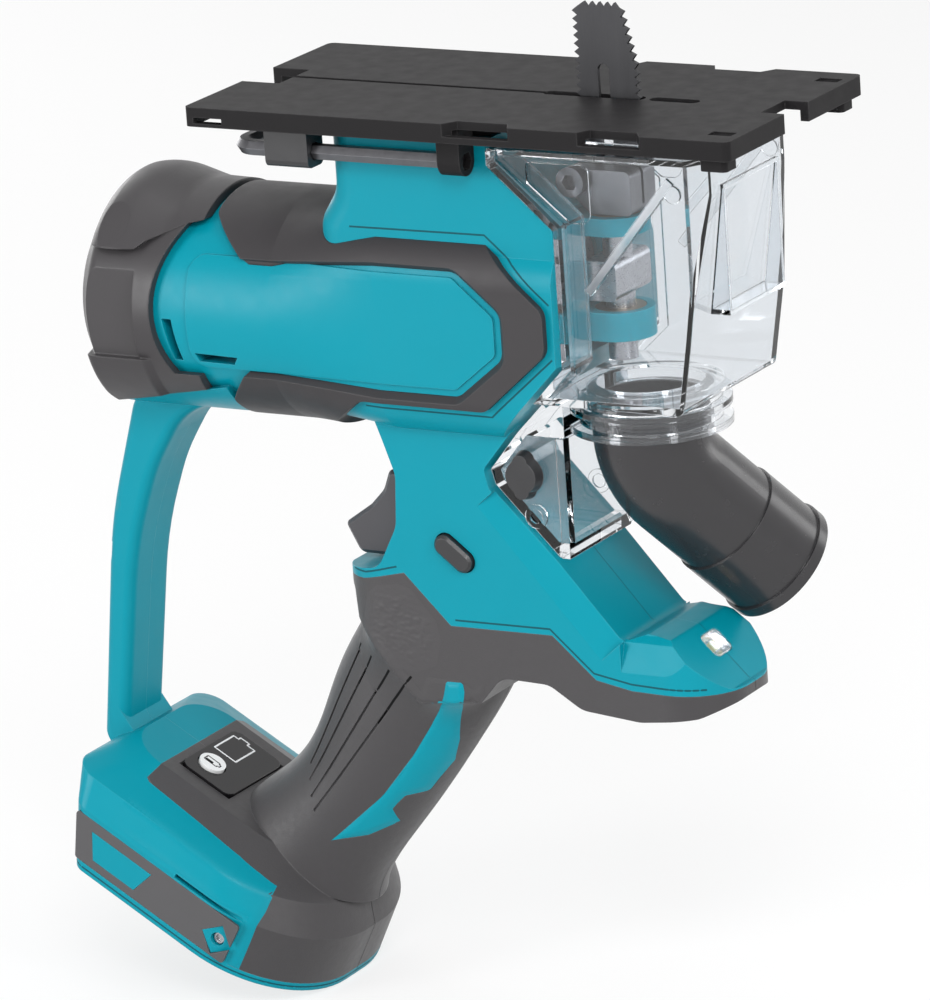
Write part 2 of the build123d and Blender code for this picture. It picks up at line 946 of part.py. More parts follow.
with BuildPart() as base_plate:
    with BuildSketch():
        with Locations(((shoe_front + shoe_rear) / 2, 0)):
            RectangleRounded(shoe_length, shoe_width, 2)
    extrude(amount=-shoe_lip)
    # hollow underside inside the rim
    with BuildSketch(Plane.XY.offset(-shoe_lip)):
        with Locations(((shoe_front + shoe_rear) / 2, 0)):
            Rectangle(shoe_length - 2 * shoe_rim, shoe_width - 2 * shoe_rim)
    extrude(amount=shoe_lip - shoe_plate, mode=Mode.SUBTRACT)
    # seat on the neck and the two front posts
    with BuildSketch(Plane.XY.offset(-shoe_plate)):
        with Locations((-47.5, 0)):
            RectangleRounded(47, 46, 8)
    extrude(amount=neck_top + seat_gap + shoe_plate)
    with BuildSketch(Plane.XY.offset(-shoe_plate)):
        with Locations((51.5, -34), (51.5, 34)):
            RectangleRounded(8, 7, 1.5)
    extrude(amount=shoe_plate - shoe_post)
    # socket for the front end of the wrench
    with BuildSketch(Plane.YZ.offset(wrench_front - 5)):
        with Locations((wrench_y, (wrench_z - shoe_plate) / 2)):
            Rectangle(8, -shoe_plate - wrench_z)
        with Locations((wrench_y, wrench_z)):
            Circle(4)
            RegularPolygon(wrench_corner + move_gap, 6, mode=Mode.SUBTRACT)
    extrude(amount=7)
    # sight notches in the sides, with a bar left under each
    with BuildSketch():
        for side in (-1, 1):
            edge = side * (shoe_half + 1)
            deep = side * (shoe_half - 4)
            Polygon((-29.5, edge), (-8, edge), (-10.7, deep), (-26, deep))
            Polygon((12.0, edge), (32, edge), (28.5, deep), (14.5, deep))
    extrude(amount=-shoe_plate - 1.2, mode=Mode.SUBTRACT)
    # notch behind, slit to the blade slot, front slot and front notch
    with BuildSketch():
        with Locations((shoe_rear + 5, 0)):
            Rectangle(14, 16.6)
        with Locations(((shoe_rear - 4) / 2, 0)):
            Rectangle(-4 - shoe_rear, 2)
        with Locations(((slot_rear + slot_front) / 2, 0)):
            SlotOverall(slot_front - slot_rear, slot_width)
        with Locations((21, 0)):
            SlotOverall(15, slot_width)
        with Locations((shoe_front, 0)):
            Rectangle(14, 14)
    extrude(amount=-shoe_lip - 1, mode=Mode.SUBTRACT)
    # corner recesses in the work face
    with BuildSketch():
        with Locations((51.5, -31), (51.5, 31)):
            Rectangle(7, 4)
    extrude(amount=-0.7, mode=Mode.SUBTRACT)
    # window in the rim at the rear end
    with BuildSketch(Plane.XZ):
        Polygon((-107, -2.8), (-98, -2.8), (-98, -4.4), (-107, -4.4))
    extrude(amount=shoe_width, both=True, mode=Mode.SUBTRACT)
base_plate.part.label = "base_plate"
export_step(base_plate.part, "parts/base_plate.step")

with BuildPart() as wrench_holder:
    with BuildSketch(Plane.YZ.offset(-88)):
        add(
            rounded(
                [
                    (wrench_y - 4.2, -shoe_plate - seat_gap, 0),
                    (wrench_y - 4.2, wrench_z - 4.2, 2),
                    (wrench_y + 4.2, wrench_z - 4.2, 2),
                    (wrench_y + 4.2, -shoe_plate - seat_gap, 0),
                ]
            )
        )
        with Locations((wrench_y, wrench_z)):
            RegularPolygon(wrench_corner + move_gap, 6, mode=Mode.SUBTRACT)
    extrude(amount=13.5)
wrench_holder.part.label = "wrench_holder"
export_step(wrench_holder.part, "parts/wrench_holder.step")

with BuildPart() as hex_wrench:
    with BuildLine() as wrench_path:
        FilletPolyline(
            (wrench_front, wrench_y, wrench_z),
            (wrench_rear, wrench_y, wrench_z),
            (wrench_rear, wrench_y + wrench_leg, wrench_z),
            radius=6,
        )
    with BuildSketch(Plane(origin=wrench_path.line @ 0, z_dir=wrench_path.line % 0)):
        RegularPolygon(wrench_corner, 6)
    sweep()
hex_wrench.part.label = "hex_wrench"
export_step(hex_wrench.part, "parts/hex_wrench.step")

# Dust box, its latch and the hose nozzle

box_outline = [
    (-22.6, box_top, 0),
    (box_front, box_top, 1),
    (box_front, -20, 3),
    (36, -60, 3),
    (32.6, box_floor, 2),
    (-13.2, box_floor, 0),
    (barrel_front + 1.2, -69.5, 0),
    (barrel_front + 1.2, -30.9, 0),
    (-22.6, -13.9, 0),
]
mech_half = 13.0  # room for the drive in the open back of the box
collar_r = nozzle_r + 3.1
flange_r = nozzle_r + 6
rib_rise = 0.8
boss_at = (-19.6, -114.8)
collar_end = -91.0


def box_form(inset):
    half = box_half - inset
    with BuildSketch() as profile:
        add(rounded(box_outline))
        if inset:
            offset(amount=-inset, kind=Kind.INTERSECTION)
    with BuildPart() as form:
        with BuildSketch(Plane.XZ):
            add(profile.sketch)
        extrude(amount=half, both=True)
        with BuildSketch(Plane.XY):
            with BuildLine():
                Polyline(
                    (-40, -half),
                    (box_corner, -half),
                    (box_front + 1 - inset, 7 - half),
                    (box_front + 1 - inset, half - 7),
                    (box_corner, half),
                    (-40, half),
                    close=True,
                )
            make_face()
        extrude(amount=-120, mode=Mode.INTERSECT)
    return form.part


with BuildPart() as dust_box:
    add(box_form(0))
    # bracket that hugs the stem of the handle
    add(
        side_prism(
            rounded(
                [
                    (-12.6, box_floor + 0.5, 0),
                    (-24.2, -91.5, 0),
                    (-33.2, -102.5, 1),
                    (-32, -106.7, 1),
                    (-13.2, -126, 0),
                    (bracket_front, -126, 0),
                    (bracket_front, box_floor + 0.5, 0),
                ]
            ),
            -bracket_half,
            bracket_half,
        )
    )
    inner = [
        (-22.2, -92.4, 0),
        (-31, -102.8, 0),
        (-30, -105.8, 0),
        (-14, -122.2, 0),
        (bracket_front + 1, -122.2, 0),
        (bracket_front + 1, -92.4, 0),
    ]
    bracket_room = side_prism(rounded(inner), 2.4 - bracket_half, bracket_half - 2.4)
    add(bracket_room, mode=Mode.SUBTRACT)
    # collar with two flanges
    with BuildSketch(Plane.XY.offset(box_floor + 0.5)):
        with Locations((nozzle_x, 0)):
            Circle(collar_r)
    extrude(amount=collar_end - box_floor - 0.5)
    with BuildSketch(Plane.XY.offset(-83.5), Plane.XY.offset(collar_end + 2)):
        with Locations((nozzle_x, 0)):
            Circle(flange_r)
    extrude(amount=-2)
    # frame along the rear edge, slanting rib and boss on each side
    for side in (-1, 1):
        with BuildSketch(Plane.XZ.offset(-side * box_half)):
            Polygon(
                (-22.6, -9.9),
                (-19.4, -9.9),
                (-19.4, -12.4),
                (barrel_front + 5, -29),
                (barrel_front + 5, -71),
                (-8.6, -79.6),
                (-12.8, -79.6),
                (barrel_front + 1.2, -69.5),
                (barrel_front + 1.2, -30.9),
                (-22.6, -13.9),
            )
            Polygon((5.2, -46.6), (32, -14.2), (34, -15.8), (7.2, -48.2))
            with Locations((33.6, -18.6)):
                Circle(2.4)
        extrude(amount=-side * rib_rise)
    # frame and ring on each side of the bracket
    for side in (-1, 1):
        with BuildSketch(Plane.XZ.offset(-side * bracket_half)):
            with Locations((bracket_front - 1.3, -109)):
                Rectangle(2.6, 34)
            with Locations(boss_at):
                Circle(3.4)
                Circle(2, mode=Mode.SUBTRACT)
        extrude(amount=-side * rib_rise)
    # frame on the front face
    with BuildSketch(Plane.YZ.offset(36)):
        with Locations((0, -36)):
            Rectangle(32, 36)
            Rectangle(29.6, 33.6, mode=Mode.SUBTRACT)
    extrude(amount=6 + rib_rise)
    add(box_form(box_wall), mode=Mode.SUBTRACT)
    # open back and top for the drive and the blade
    add(block(-40, 0, mech_half, -78, -5), mode=Mode.SUBTRACT)
    add(block(-40, 22, mech_half, -12, -5), mode=Mode.SUBTRACT)
    # way down into the nozzle
    with BuildSketch(Plane.XY.offset(box_floor + 5)):
        with Locations((nozzle_x, 0)):
            Circle(nozzle_r - nozzle_wall)
    extrude(amount=-9, mode=Mode.SUBTRACT)
    with BuildSketch(Plane.XY.offset(-82.4)):
        with Locations((nozzle_x, 0)):
            Circle(nozzle_r + move_gap)
    extrude(amount=-10, mode=Mode.SUBTRACT)
    # shallow pocket high on each side, where the wrench finds the clamp screw
    for side in (-1, 1):
        with BuildSketch(Plane.XZ.offset(-side * (box_half - rib_rise))):
            add(rounded([(-11, -12.5, 1), (8, -12.5, 2), (8, -28.6, 3), (1.6, -28.6, 2), (-11, -18.2, 1)]))
        extrude(amount=-side * 3, mode=Mode.SUBTRACT)
    # hole for the latch
    with BuildSketch(Plane.XZ.offset(bracket_half - 5)):
        with Locations((-22, -103)):
            Circle(3 + move_gap)
    extrude(amount=8, mode=Mode.SUBTRACT)
dust_box.part.label = "dust_box"
export_step(dust_box.part, "parts/dust_box.step")

with BuildPart() as dust_latch:
    with BuildSketch(Plane.XZ.offset(bracket_half - 4)):
        with Locations((-22, -103)):
            Circle(3)
    extrude(amount=4 + move_gap)
    with BuildSketch(Plane.XZ.offset(bracket_half + move_gap)):
        with Locations((-22, -103)):
            Circle(5.4)
            SlotOverall(14, 6, rotation=90)
    extrude(amount=3.4, taper=12)
dust_latch.part.label = "dust_latch"
export_step(dust_latch.part, "parts/dust_latch.step")

swing = radians(nozzle_swing)
nozzle_dir = Vector(cos(swing) / sqrt(2), sin(swing) / sqrt(2), -1 / sqrt(2))
nozzle_knee = Vector(nozzle_x, 0, nozzle_bend)
nozzle_end = nozzle_knee + nozzle_dir * nozzle_reach
nozzle_rim = 1.3
nozzle_sleeve = 0.6
sleeve_length = 23.0


def nozzle_tube(radius):
    with BuildPart() as form:
        with BuildLine() as path:
            FilletPolyline((nozzle_x, 0, -82.8), nozzle_knee, nozzle_end, radius=24)
        with BuildSketch(Plane.XY.offset(-82.8)):
            with Locations((nozzle_x, 0)):
                Circle(radius)
        sweep(path=path.line)
    return form.part


with BuildPart() as dust_nozzle:
    add(nozzle_tube(nozzle_r))
    # the outer half is a sleeve with a rolled rim
    with BuildSketch(Plane(origin=nozzle_end, z_dir=nozzle_dir)):
        Circle(nozzle_r + nozzle_sleeve)
    extrude(amount=-sleeve_length)
    with BuildSketch(Plane(origin=nozzle_end - nozzle_dir * 0.6, z_dir=nozzle_dir)):
        Circle(nozzle_r + nozzle_rim)
    extrude(amount=-3.2)
    add(nozzle_tube(nozzle_r - nozzle_wall), mode=Mode.SUBTRACT)
dust_nozzle.part.label = "dust_nozzle"
export_step(dust_nozzle.part, "parts/dust_nozzle.step")

# Gear case and gears

crank_shaft_r = 4.0
gear_low = -39.0
gear_high = -32.0
gear_bearing_r = 7.0
crank_bearing_r = 9.0
crank_disc_r = 8.0
crank_disc_x = -16.0
pin_end = -4.6
guide_r = 7.0
arm_half = 9.5
crank_low = -gear_drop - crank_throw
yoke_half = 5.5
upper_low = crank_low + yoke_half + stroke + 0.8
upper_arm = (upper_low, upper_low + 5)
lower_high = crank_low - yoke_half - 3.5
lower_arm = (lower_high - 8, lower_high)

pressure = radians(25)
addendum = 0.8 * module
dedendum = 1.1 * module
backlash = 0.16


def gear_profile(teeth, turn):
    """Spur gear outline with stub teeth, the first tooth at an angle in degrees."""
    pitch_r = teeth * module / 2
    base_r = pitch_r * cos(pressure)
    root_r = pitch_r - dedendum
    tip_r = pitch_r + addendum
    roll = tan(pressure) - pressure

    def half_angle(radius):
        a = acos(min(1, base_r / radius))
        return pi / (2 * teeth) - backlash / (2 * pitch_r) + roll - (tan(a) - a)

    radii = [root_r - 0.2, max(base_r, root_r + 0.05), pitch_r, tip_r]
    right = [(r * cos(half_angle(r)), -r * sin(half_angle(r))) for r in radii]
    left = [(x, -y) for x, y in reversed(right)]
    with BuildSketch() as outline:
        Circle(root_r)
        with PolarLocations(0, teeth, start_angle=turn):
            Polygon(*right, *left)
    return outline.sketch


def gear_part(teeth, turn, drop, low, high, bore):
    with BuildPart() as form:
        with BuildSketch(Plane.YZ.offset(low)):
            with Locations((0, -drop)):
                add(gear_profile(teeth, turn))
                Circle(bore, mode=Mode.SUBTRACT)
        extrude(amount=high - low)
    return form.part


def ring_x(low, high, radius, bore, drop):
    """Sleeve along X."""
    with BuildPart() as form:
        add(round_x(low, high, radius, drop))
        add(round_x(low - 1, high + 1, bore, drop), mode=Mode.SUBTRACT)
    return form.part


def arm_form(span):
    """Arm that reaches forward to the blade rod."""
    with BuildPart() as form:
        with BuildSketch(Plane.XY.offset(span[0])):
            with Locations(((gear_front - 3 + rod_x) / 2, 0)):
                Rectangle(rod_x - gear_front + 3, 2 * arm_half)
            with Locations((rod_x, 0)):
                Circle(arm_half)
                Circle(guide_r + seat_gap, mode=Mode.SUBTRACT)
        extrude(amount=span[1] - span[0])
    return form.part


with BuildPart() as gear_housing:
    add(side_prism(gear_outline.sketch, -gear_half, gear_half))
    add(block(gear_rear - 1, gear_split, gear_half + 1, gear_bottom - 1, gear_top + 1), mode=Mode.SUBTRACT)
    add(arm_form(upper_arm))
    add(arm_form(lower_arm))
    tip_r = module * gear_teeth / 2 + addendum
    add(round_x(gear_split - 1, gear_high + 0.5, tip_r + 0.6, gear_drop), mode=Mode.SUBTRACT)
    small_r = module * pinion_teeth / 2 + addendum
    add(round_x(gear_split - 1, gear_high + 2, small_r + 0.6, barrel_drop), mode=Mode.SUBTRACT)
    add(round_x(-27 - seat_gap, -21 + seat_gap, crank_bearing_r + seat_gap, gear_drop), mode=Mode.SUBTRACT)
    add(round_x(gear_split, gear_front + 1, crank_shaft_r + move_gap, gear_drop), mode=Mode.SUBTRACT)
    add(round_x(crank_disc_x - 0.5, gear_front + 1, crank_disc_r + move_gap, gear_drop), mode=Mode.SUBTRACT)
gear_housing.part.label = "gear_housing"
export_step(gear_housing.part, "parts/gear_housing.step")

with BuildPart() as gear_cover:
    add(block(gear_rear, gear_split - run_gap, gear_half, gear_bottom, gear_top))
    add(round_x(-46 - seat_gap, gear_split + 1, gear_bearing_r + seat_gap, gear_drop), mode=Mode.SUBTRACT)
    add(round_x(gear_rear - 1, -46, motor_bearing_r + seat_gap, barrel_drop), mode=Mode.SUBTRACT)
    add(round_x(gear_rear, gear_split + 1, shaft_r + move_gap, barrel_drop), mode=Mode.SUBTRACT)
gear_cover.part.label = "gear_cover"
export_step(gear_cover.part, "parts/gear_cover.step")

with BuildPart() as pinion:
    add(gear_part(pinion_teeth, 90, barrel_drop, gear_low - 1, gear_high + 0.5, 2 + run_gap))
pinion.part.label = "pinion"
export_step(pinion.part, "parts/pinion.step")

with BuildPart() as drive_gear:
    half_pitch = 180 / gear_teeth
    add(gear_part(gear_teeth, half_pitch - 90, gear_drop, gear_low, gear_high, crank_shaft_r + run_gap))
    with BuildSketch(Plane.YZ.offset(gear_low - 1)):
        with Locations((0, -gear_drop)):
            with PolarLocations(8, 4):
                Circle(2)
    extrude(amount=12, mode=Mode.SUBTRACT)
drive_gear.part.label = "drive_gear"
export_step(drive_gear.part, "parts/drive_gear.step")

with BuildPart() as crank_shaft:
    add(round_x(-46, crank_disc_x, crank_shaft_r, gear_drop))
    add(round_x(crank_disc_x, crank_disc_x + 5, crank_disc_r, gear_drop))
    add(round_x(crank_disc_x, pin_end, crank_pin_r, -crank_low))
crank_shaft.part.label = "crank_shaft"
export_step(crank_shaft.part, "parts/crank_shaft.step")

with BuildPart() as crank_bearing:
    add(ring_x(-27, -21, crank_bearing_r, crank_shaft_r + run_gap, gear_drop))
crank_bearing.part.label = "crank_bearing"
export_step(crank_bearing.part, "parts/crank_bearing.step")

with BuildPart() as gear_bearing:
    add(ring_x(-46, gear_split, gear_bearing_r, crank_shaft_r + run_gap, gear_drop))
gear_bearing.part.label = "gear_bearing"
export_step(gear_bearing.part, "parts/gear_bearing.step")

# Blade drive


def guide_form(span):
    with BuildPart() as form:
        with BuildSketch(Plane.XY.offset(span[0])):
            with Locations((rod_x, 0)):
                Circle(guide_r)
                Circle(rod_r + run_gap, mode=Mode.SUBTRACT)
        extrude(amount=span[1] - span[0])
    return form.part


with BuildPart() as guide_upper:
    add(guide_form(upper_arm))
guide_upper.part.label = "guide_upper"
export_step(guide_upper.part, "parts/guide_upper.step")

with BuildPart() as guide_lower:
    add(guide_form(lower_arm))
guide_lower.part.label = "guide_lower"
export_step(guide_lower.part, "parts/guide_lower.step")

yoke_back = pin_end + move_gap
yoke_front = rod_x + rod_r + 0.5
clamp_low = upper_arm[1] + 0.7
clamp_high = clamp_low + 12.3
clamp_half = 7.0
blade_half = 0.6
rod_end = lower_arm[0] - stroke - 0.6

with BuildPart() as slider:
    with BuildSketch(Plane.XY.offset(rod_end)):
        with Locations((rod_x, 0)):
            Circle(rod_r)
    extrude(amount=clamp_low - rod_end)
    with BuildSketch(Plane.XZ):
        add(
            rounded(
                [
                    (yoke_back, crank_low - yoke_half, 0),
                    (yoke_front, crank_low - yoke_half, 2),
                    (yoke_front, crank_low + yoke_half, 2),
                    (yoke_back, crank_low + yoke_half, 0),
                ]
            )
        )
    extrude(amount=10, both=True)
    # cross slot for the crank pin
    with BuildSketch(Plane.YZ.offset(yoke_back - 1)):
        with Locations((0, crank_low)):
            SlotOverall(2 * (crank_throw + crank_pin_r) + 1, 2 * (crank_pin_r + run_gap))
    extrude(amount=4, mode=Mode.SUBTRACT)
slider.part.label = "slider"
export_step(slider.part, "parts/slider.step")

clamp_screw_at = (-7.2, clamp_low + 9)
clamp_screw_r = 2.5

with BuildPart() as blade_clamp:
    with BuildSketch(Plane.XZ):
        add(
            rounded(
                [
                    (-3, clamp_low, 1),
                    (10, clamp_low, 1.5),
                    (10, clamp_high, 2),
                    (-11, clamp_high, 2),
                    (-11, clamp_low + 7.6, 1),
                ]
            )
        )
    extrude(amount=clamp_half, both=True)
    with BuildSketch(Plane.XY.offset(clamp_low + 2)):
        Rectangle(30, 2 * (blade_half + run_gap))
    extrude(amount=20, mode=Mode.SUBTRACT)
    with BuildSketch(Plane.XZ.offset(-clamp_half - 1)):
        with Locations(clamp_screw_at):
            Circle(clamp_screw_r + run_gap)
    extrude(amount=2 * clamp_half + 2, mode=Mode.SUBTRACT)
blade_clamp.part.label = "blade_clamp"
export_step(blade_clamp.part, "parts/blade_clamp.step")

with BuildPart() as clamp_screw:
    with BuildSketch(Plane.XZ.offset(-clamp_half)):
        with Locations(clamp_screw_at):
            Circle(clamp_screw_r)
    extrude(amount=2 * clamp_half)
    with BuildSketch(Plane.XZ.offset(clamp_half)):
        with Locations(clamp_screw_at):
            Circle(4.2)
            RegularPolygon(2.3, 6, mode=Mode.SUBTRACT)
    extrude(amount=3)
clamp_screw.part.label = "clamp_screw"
export_step(clamp_screw.part, "parts/clamp_screw.step")

blade_root = clamp_low + 2.2
tooth_depth = 1.5
tooth_pitch = 2.3
teeth_low = -12.0


def toothed(start, finish):
    """Saw teeth along a line, each standing out to the right of the way along it."""
    way = Vector(*finish) - Vector(*start)
    count = round(way.length / tooth_pitch)
    step = way / count
    out = Vector(step.Y, -step.X).normalized() * tooth_depth
    points = []
    for i in range(count):
        foot = Vector(*start) + step * i
        points.append(foot)
        points.append(foot + step / 2 + out)
    return [(p.X, p.Y) for p in points]


with BuildPart() as blade:
    with BuildSketch(Plane.XZ):
        right = blade_right - tooth_depth
        left = blade_left + tooth_depth
        top = blade_top - tooth_depth
        edge = toothed((right, teeth_low), (right, 8))
        edge += toothed((right, 8), (5.6, top))
        edge += toothed((5.6, top), (left + 1.1, top))
        edge += toothed((left, top), (left, teeth_low))
        neck = teeth_low - 5
        Polygon(*edge, (left, teeth_low), (-4, neck), (-4, blade_root), (7, blade_root), (7, neck))
        with Locations((0, -6)):
            SlotOverall(30, 3.5, rotation=90, mode=Mode.SUBTRACT)
    extrude(amount=blade_half, both=True)
blade.part.label = "blade"
export_step(blade.part, "parts/blade.step")

# Motor

shaft_step = -45.0
core_low = -112.0
core_high = -76.0

with BuildPart() as armature_shaft:
    add(round_x(rear_bearing_x, shaft_step, shaft_r, barrel_drop))
    add(round_x(shaft_step, gear_high + 1, 2, barrel_drop))
armature_shaft.part.label = "armature_shaft"
export_step(armature_shaft.part, "parts/armature_shaft.step")

with BuildPart() as armature_core:
    with BuildSketch(Plane.YZ.offset(core_low)):
        with Locations((0, -barrel_drop)):
            Circle(core_r)
            Circle(shaft_r + run_gap, mode=Mode.SUBTRACT)
            with PolarLocations(core_r - 3, 12):
                Rectangle(7, 2.2, mode=Mode.SUBTRACT)
    extrude(amount=core_high - core_low)
armature_core.part.label = "armature_core"
export_step(armature_core.part, "parts/armature_core.step")

with BuildPart() as winding_rear:
    add(ring_x(core_low - 5, core_low - run_gap, 14.5, shaft_r + run_gap, barrel_drop))
    chamfer(winding_rear.edges().group_by(Axis.X)[0].sort_by(SortBy.LENGTH)[-1], 2)
winding_rear.part.label = "winding_rear"
export_step(winding_rear.part, "parts/winding_rear.step")

with BuildPart() as winding_front:
    add(ring_x(core_high + run_gap, core_high + 5, 14.5, shaft_r + run_gap, barrel_drop))
    chamfer(winding_front.edges().group_by(Axis.X)[-1].sort_by(SortBy.LENGTH)[-1], 2)
winding_front.part.label = "winding_front"
export_step(winding_front.part, "parts/winding_front.step")

with BuildPart() as commutator:
    add(ring_x(-130, -120, commutator_r, shaft_r + run_gap, barrel_drop))
commutator.part.label = "commutator"
export_step(commutator.part, "parts/commutator.step")

with BuildPart() as fan:
    add(ring_x(-66, -58, 5.5, shaft_r + run_gap, barrel_drop))
    add(ring_x(-60, -58.8, 21, shaft_r + run_gap, barrel_drop))
    with BuildSketch(Plane.YZ.offset(-65)):
        with Locations((0, -barrel_drop)):
            with PolarLocations(13, 9):
                Rectangle(15.6, 1.4, rotation=18)
    extrude(amount=6)
fan.part.label = "fan"
export_step(fan.part, "parts/fan.step")

with BuildPart() as motor_yoke:
    add(ring_x(-118, -67, yoke_r, magnet_r + run_gap, barrel_drop))
motor_yoke.part.label = "motor_yoke"
export_step(motor_yoke.part, "parts/motor_yoke.step")


def magnet_form(side):
    """Curved magnet over or under the armature."""
    with BuildPart() as form:
        add(ring_x(core_low, core_high, magnet_r, core_r + 0.6, barrel_drop))
        with BuildSketch(Plane.YZ.offset(core_low)):
            with Locations((0, -barrel_drop)):
                Polygon((0, 0), (-40, side * 14), (-40, side * 40), (40, side * 40), (40, side * 14))
        extrude(amount=core_high - core_low, mode=Mode.INTERSECT)
    return form.part


with BuildPart() as magnet_upper:
    add(magnet_form(1))
magnet_upper.part.label = "magnet_upper"
export_step(magnet_upper.part, "parts/magnet_upper.step")

with BuildPart() as magnet_lower:
    add(magnet_form(-1))
magnet_lower.part.label = "magnet_lower"
export_step(magnet_lower.part, "parts/magnet_lower.step")

with BuildPart() as bearing_rear:
    bearing_end = rear_bearing_x + bearing_width
    add(ring_x(rear_bearing_x, bearing_end, motor_bearing_r, shaft_r + run_gap, barrel_drop))
bearing_rear.part.label = "bearing_rear"
export_step(bearing_rear.part, "parts/bearing_rear.step")

with BuildPart() as bearing_front:
    add(ring_x(gear_rear, gear_rear + bearing_width, motor_bearing_r, shaft_r + run_gap, barrel_drop))
bearing_front.part.label = "bearing_front"
export_step(bearing_front.part, "parts/bearing_front.step")

brush_low = -127.4
brush_high = -122.6
brush_half = 2.5
holder_half = 4.5

with BuildPart() as brush_plate:
    add(ring_x(-131.5, -129.5, yoke_r, 10.5, barrel_drop))
    for side in (-1, 1):
        with BuildSketch(Plane.YZ.offset(-129.5)):
            with Locations((side * 16, -barrel_drop)):
                Rectangle(11, 2 * holder_half)
        extrude(amount=8.5)
    with BuildSketch(Plane.XZ):
        with Locations(((brush_low + brush_high) / 2, -barrel_drop)):
            Rectangle(brush_high - brush_low + 2 * seat_gap, 2 * (brush_half + seat_gap))
    extrude(amount=30, both=True, mode=Mode.SUBTRACT)
brush_plate.part.label = "brush_plate"
export_step(brush_plate.part, "parts/brush_plate.step")


def brush_form(side):
    with BuildPart() as form:
        with BuildSketch(Plane.XZ.offset(-side * (commutator_r + run_gap))):
            with Locations(((brush_low + brush_high) / 2, -barrel_drop)):
                Rectangle(brush_high - brush_low, 2 * brush_half)
        extrude(amount=-side * 10)
    return form.part


with BuildPart() as brush_right:
    add(brush_form(-1))
brush_right.part.label = "brush_right"
export_step(brush_right.part, "parts/brush_right.step")

with BuildPart() as brush_left:
    add(brush_form(1))
brush_left.part.label = "brush_left"
export_step(brush_left.part, "parts/brush_left.step")

# Controls

with BuildPart() as switch_body:
    add(block(switch_low, switch_high, switch_half, switch_bottom, switch_top))
    with BuildSketch(Plane.YZ.offset(switch_low)):
        with Locations((0, (switch_bottom + switch_top) / 2)):
            Rectangle(5, 5)
    extrude(amount=-2)
switch_body.part.label = "switch_body"
export_step(switch_body.part, "parts/switch_body.step")

with BuildPart() as trigger:
    with BuildSketch(Plane.XZ):
        add(
            rounded(
                [
                    (-71.5, trigger_top, 2),
                    (-73.8, -114.6, 6),
                    (-78.2, -119.2, 6),
                    (-87, -125.2, 1.6),
                    (-82.6, trigger_bottom, 3),
                    (trigger_end, trigger_bottom, 0),
                    (trigger_end, trigger_top, 0),
                ]
            )
        )
    extrude(amount=trigger_half, both=True)
    on_side = trigger.edges().filter_by(lambda e: abs(abs(e.center().Y) - trigger_half) < 0.01)
    chamfer(on_side.filter_by(lambda e: e.center().X < -72 and e.center().Z > trigger_bottom + 1), 1.2)
trigger.part.label = "trigger"
export_step(trigger.part, "parts/trigger.step")

with BuildPart() as lock_button:
    add(lock_prism(0, -handle_half - lock_travel, handle_half))
    chamfer(lock_button.edges().group_by(Axis.Y)[0], 0.8)
    chamfer(lock_button.edges().group_by(Axis.Y)[-1], 0.8)
lock_button.part.label = "lock_button"
export_step(lock_button.part, "parts/lock_button.step")

with BuildPart() as lamp_lens:
    with BuildSketch(lamp_plane):
        RectangleRounded(lamp_length, lamp_width, 2 - seat_gap)
    extrude(amount=-lamp_depth)
lamp_lens.part.label = "lamp_lens"
export_step(lamp_lens.part, "parts/lamp_lens.step")

with BuildPart() as lamp_board:
    with BuildSketch(lamp_plane.offset(-lamp_depth - seat_gap)):
        Rectangle(lamp_length + 2, lamp_width + 2)
    extrude(amount=-board_depth)
lamp_board.part.label = "lamp_board"
export_step(lamp_board.part, "parts/lamp_board.step")

check_at = (-19.0, -7.0)
check_r = 4.0

with BuildPart() as indicator_panel:
    add(foot_block(panel_rear, panel_front, panel_half, panel_under, panel_over))
    upright = indicator_panel.edges().filter_by(Axis(foot_origin, foot_plane.z_dir))
    fillet(upright, 3)
    with BuildSketch(foot_plane.offset(panel_under - 1)):
        with Locations(check_at):
            Circle(check_r + move_gap)
    extrude(amount=6, mode=Mode.SUBTRACT)
indicator_panel.part.label = "indicator_panel"
export_step(indicator_panel.part, "parts/indicator_panel.step")

with BuildPart() as check_button:
    with BuildSketch(foot_plane.offset(panel_under + check_travel + 0.1)):
        with Locations(check_at):
            Circle(check_r)
    extrude(amount=panel_over - panel_under)
check_button.part.label = "check_button"
export_step(check_button.part, "parts/check_button.step")

with BuildPart() as controller:
    add(foot_block(controller_rear, controller_front, controller_half, controller_under, controller_over))
controller.part.label = "controller"
export_step(controller.part, "parts/controller.step")

terminal_rear = 6.0
contact_y = 8.0

with BuildPart() as terminal_block:
    add(foot_block(terminal_rear, recess_front - seat_gap, 16, 5, recess_depth - seat_gap))
terminal_block.part.label = "terminal_block"
export_step(terminal_block.part, "parts/terminal_block.step")


def contact_form(side):
    with BuildPart() as form:
        with BuildSketch(foot_plane.offset(7)):
            with Locations((terminal_rear - run_gap - 6, side * contact_y)):
                Rectangle(12, 0.8)
        extrude(amount=5)
    return form.part


with BuildPart() as contact_right:
    add(contact_form(-1))
contact_right.part.label = "contact_right"
export_step(contact_right.part, "parts/contact_right.step")

with BuildPart() as contact_left:
    add(contact_form(1))
contact_left.part.label = "contact_left"
export_step(contact_left.part, "parts/contact_left.step")
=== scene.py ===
import math

import bpy
from mathutils import Matrix, Vector, noise
from mathutils.bvhtree import BVHTree
from mathutils.geometry import delaunay_2d_cdt


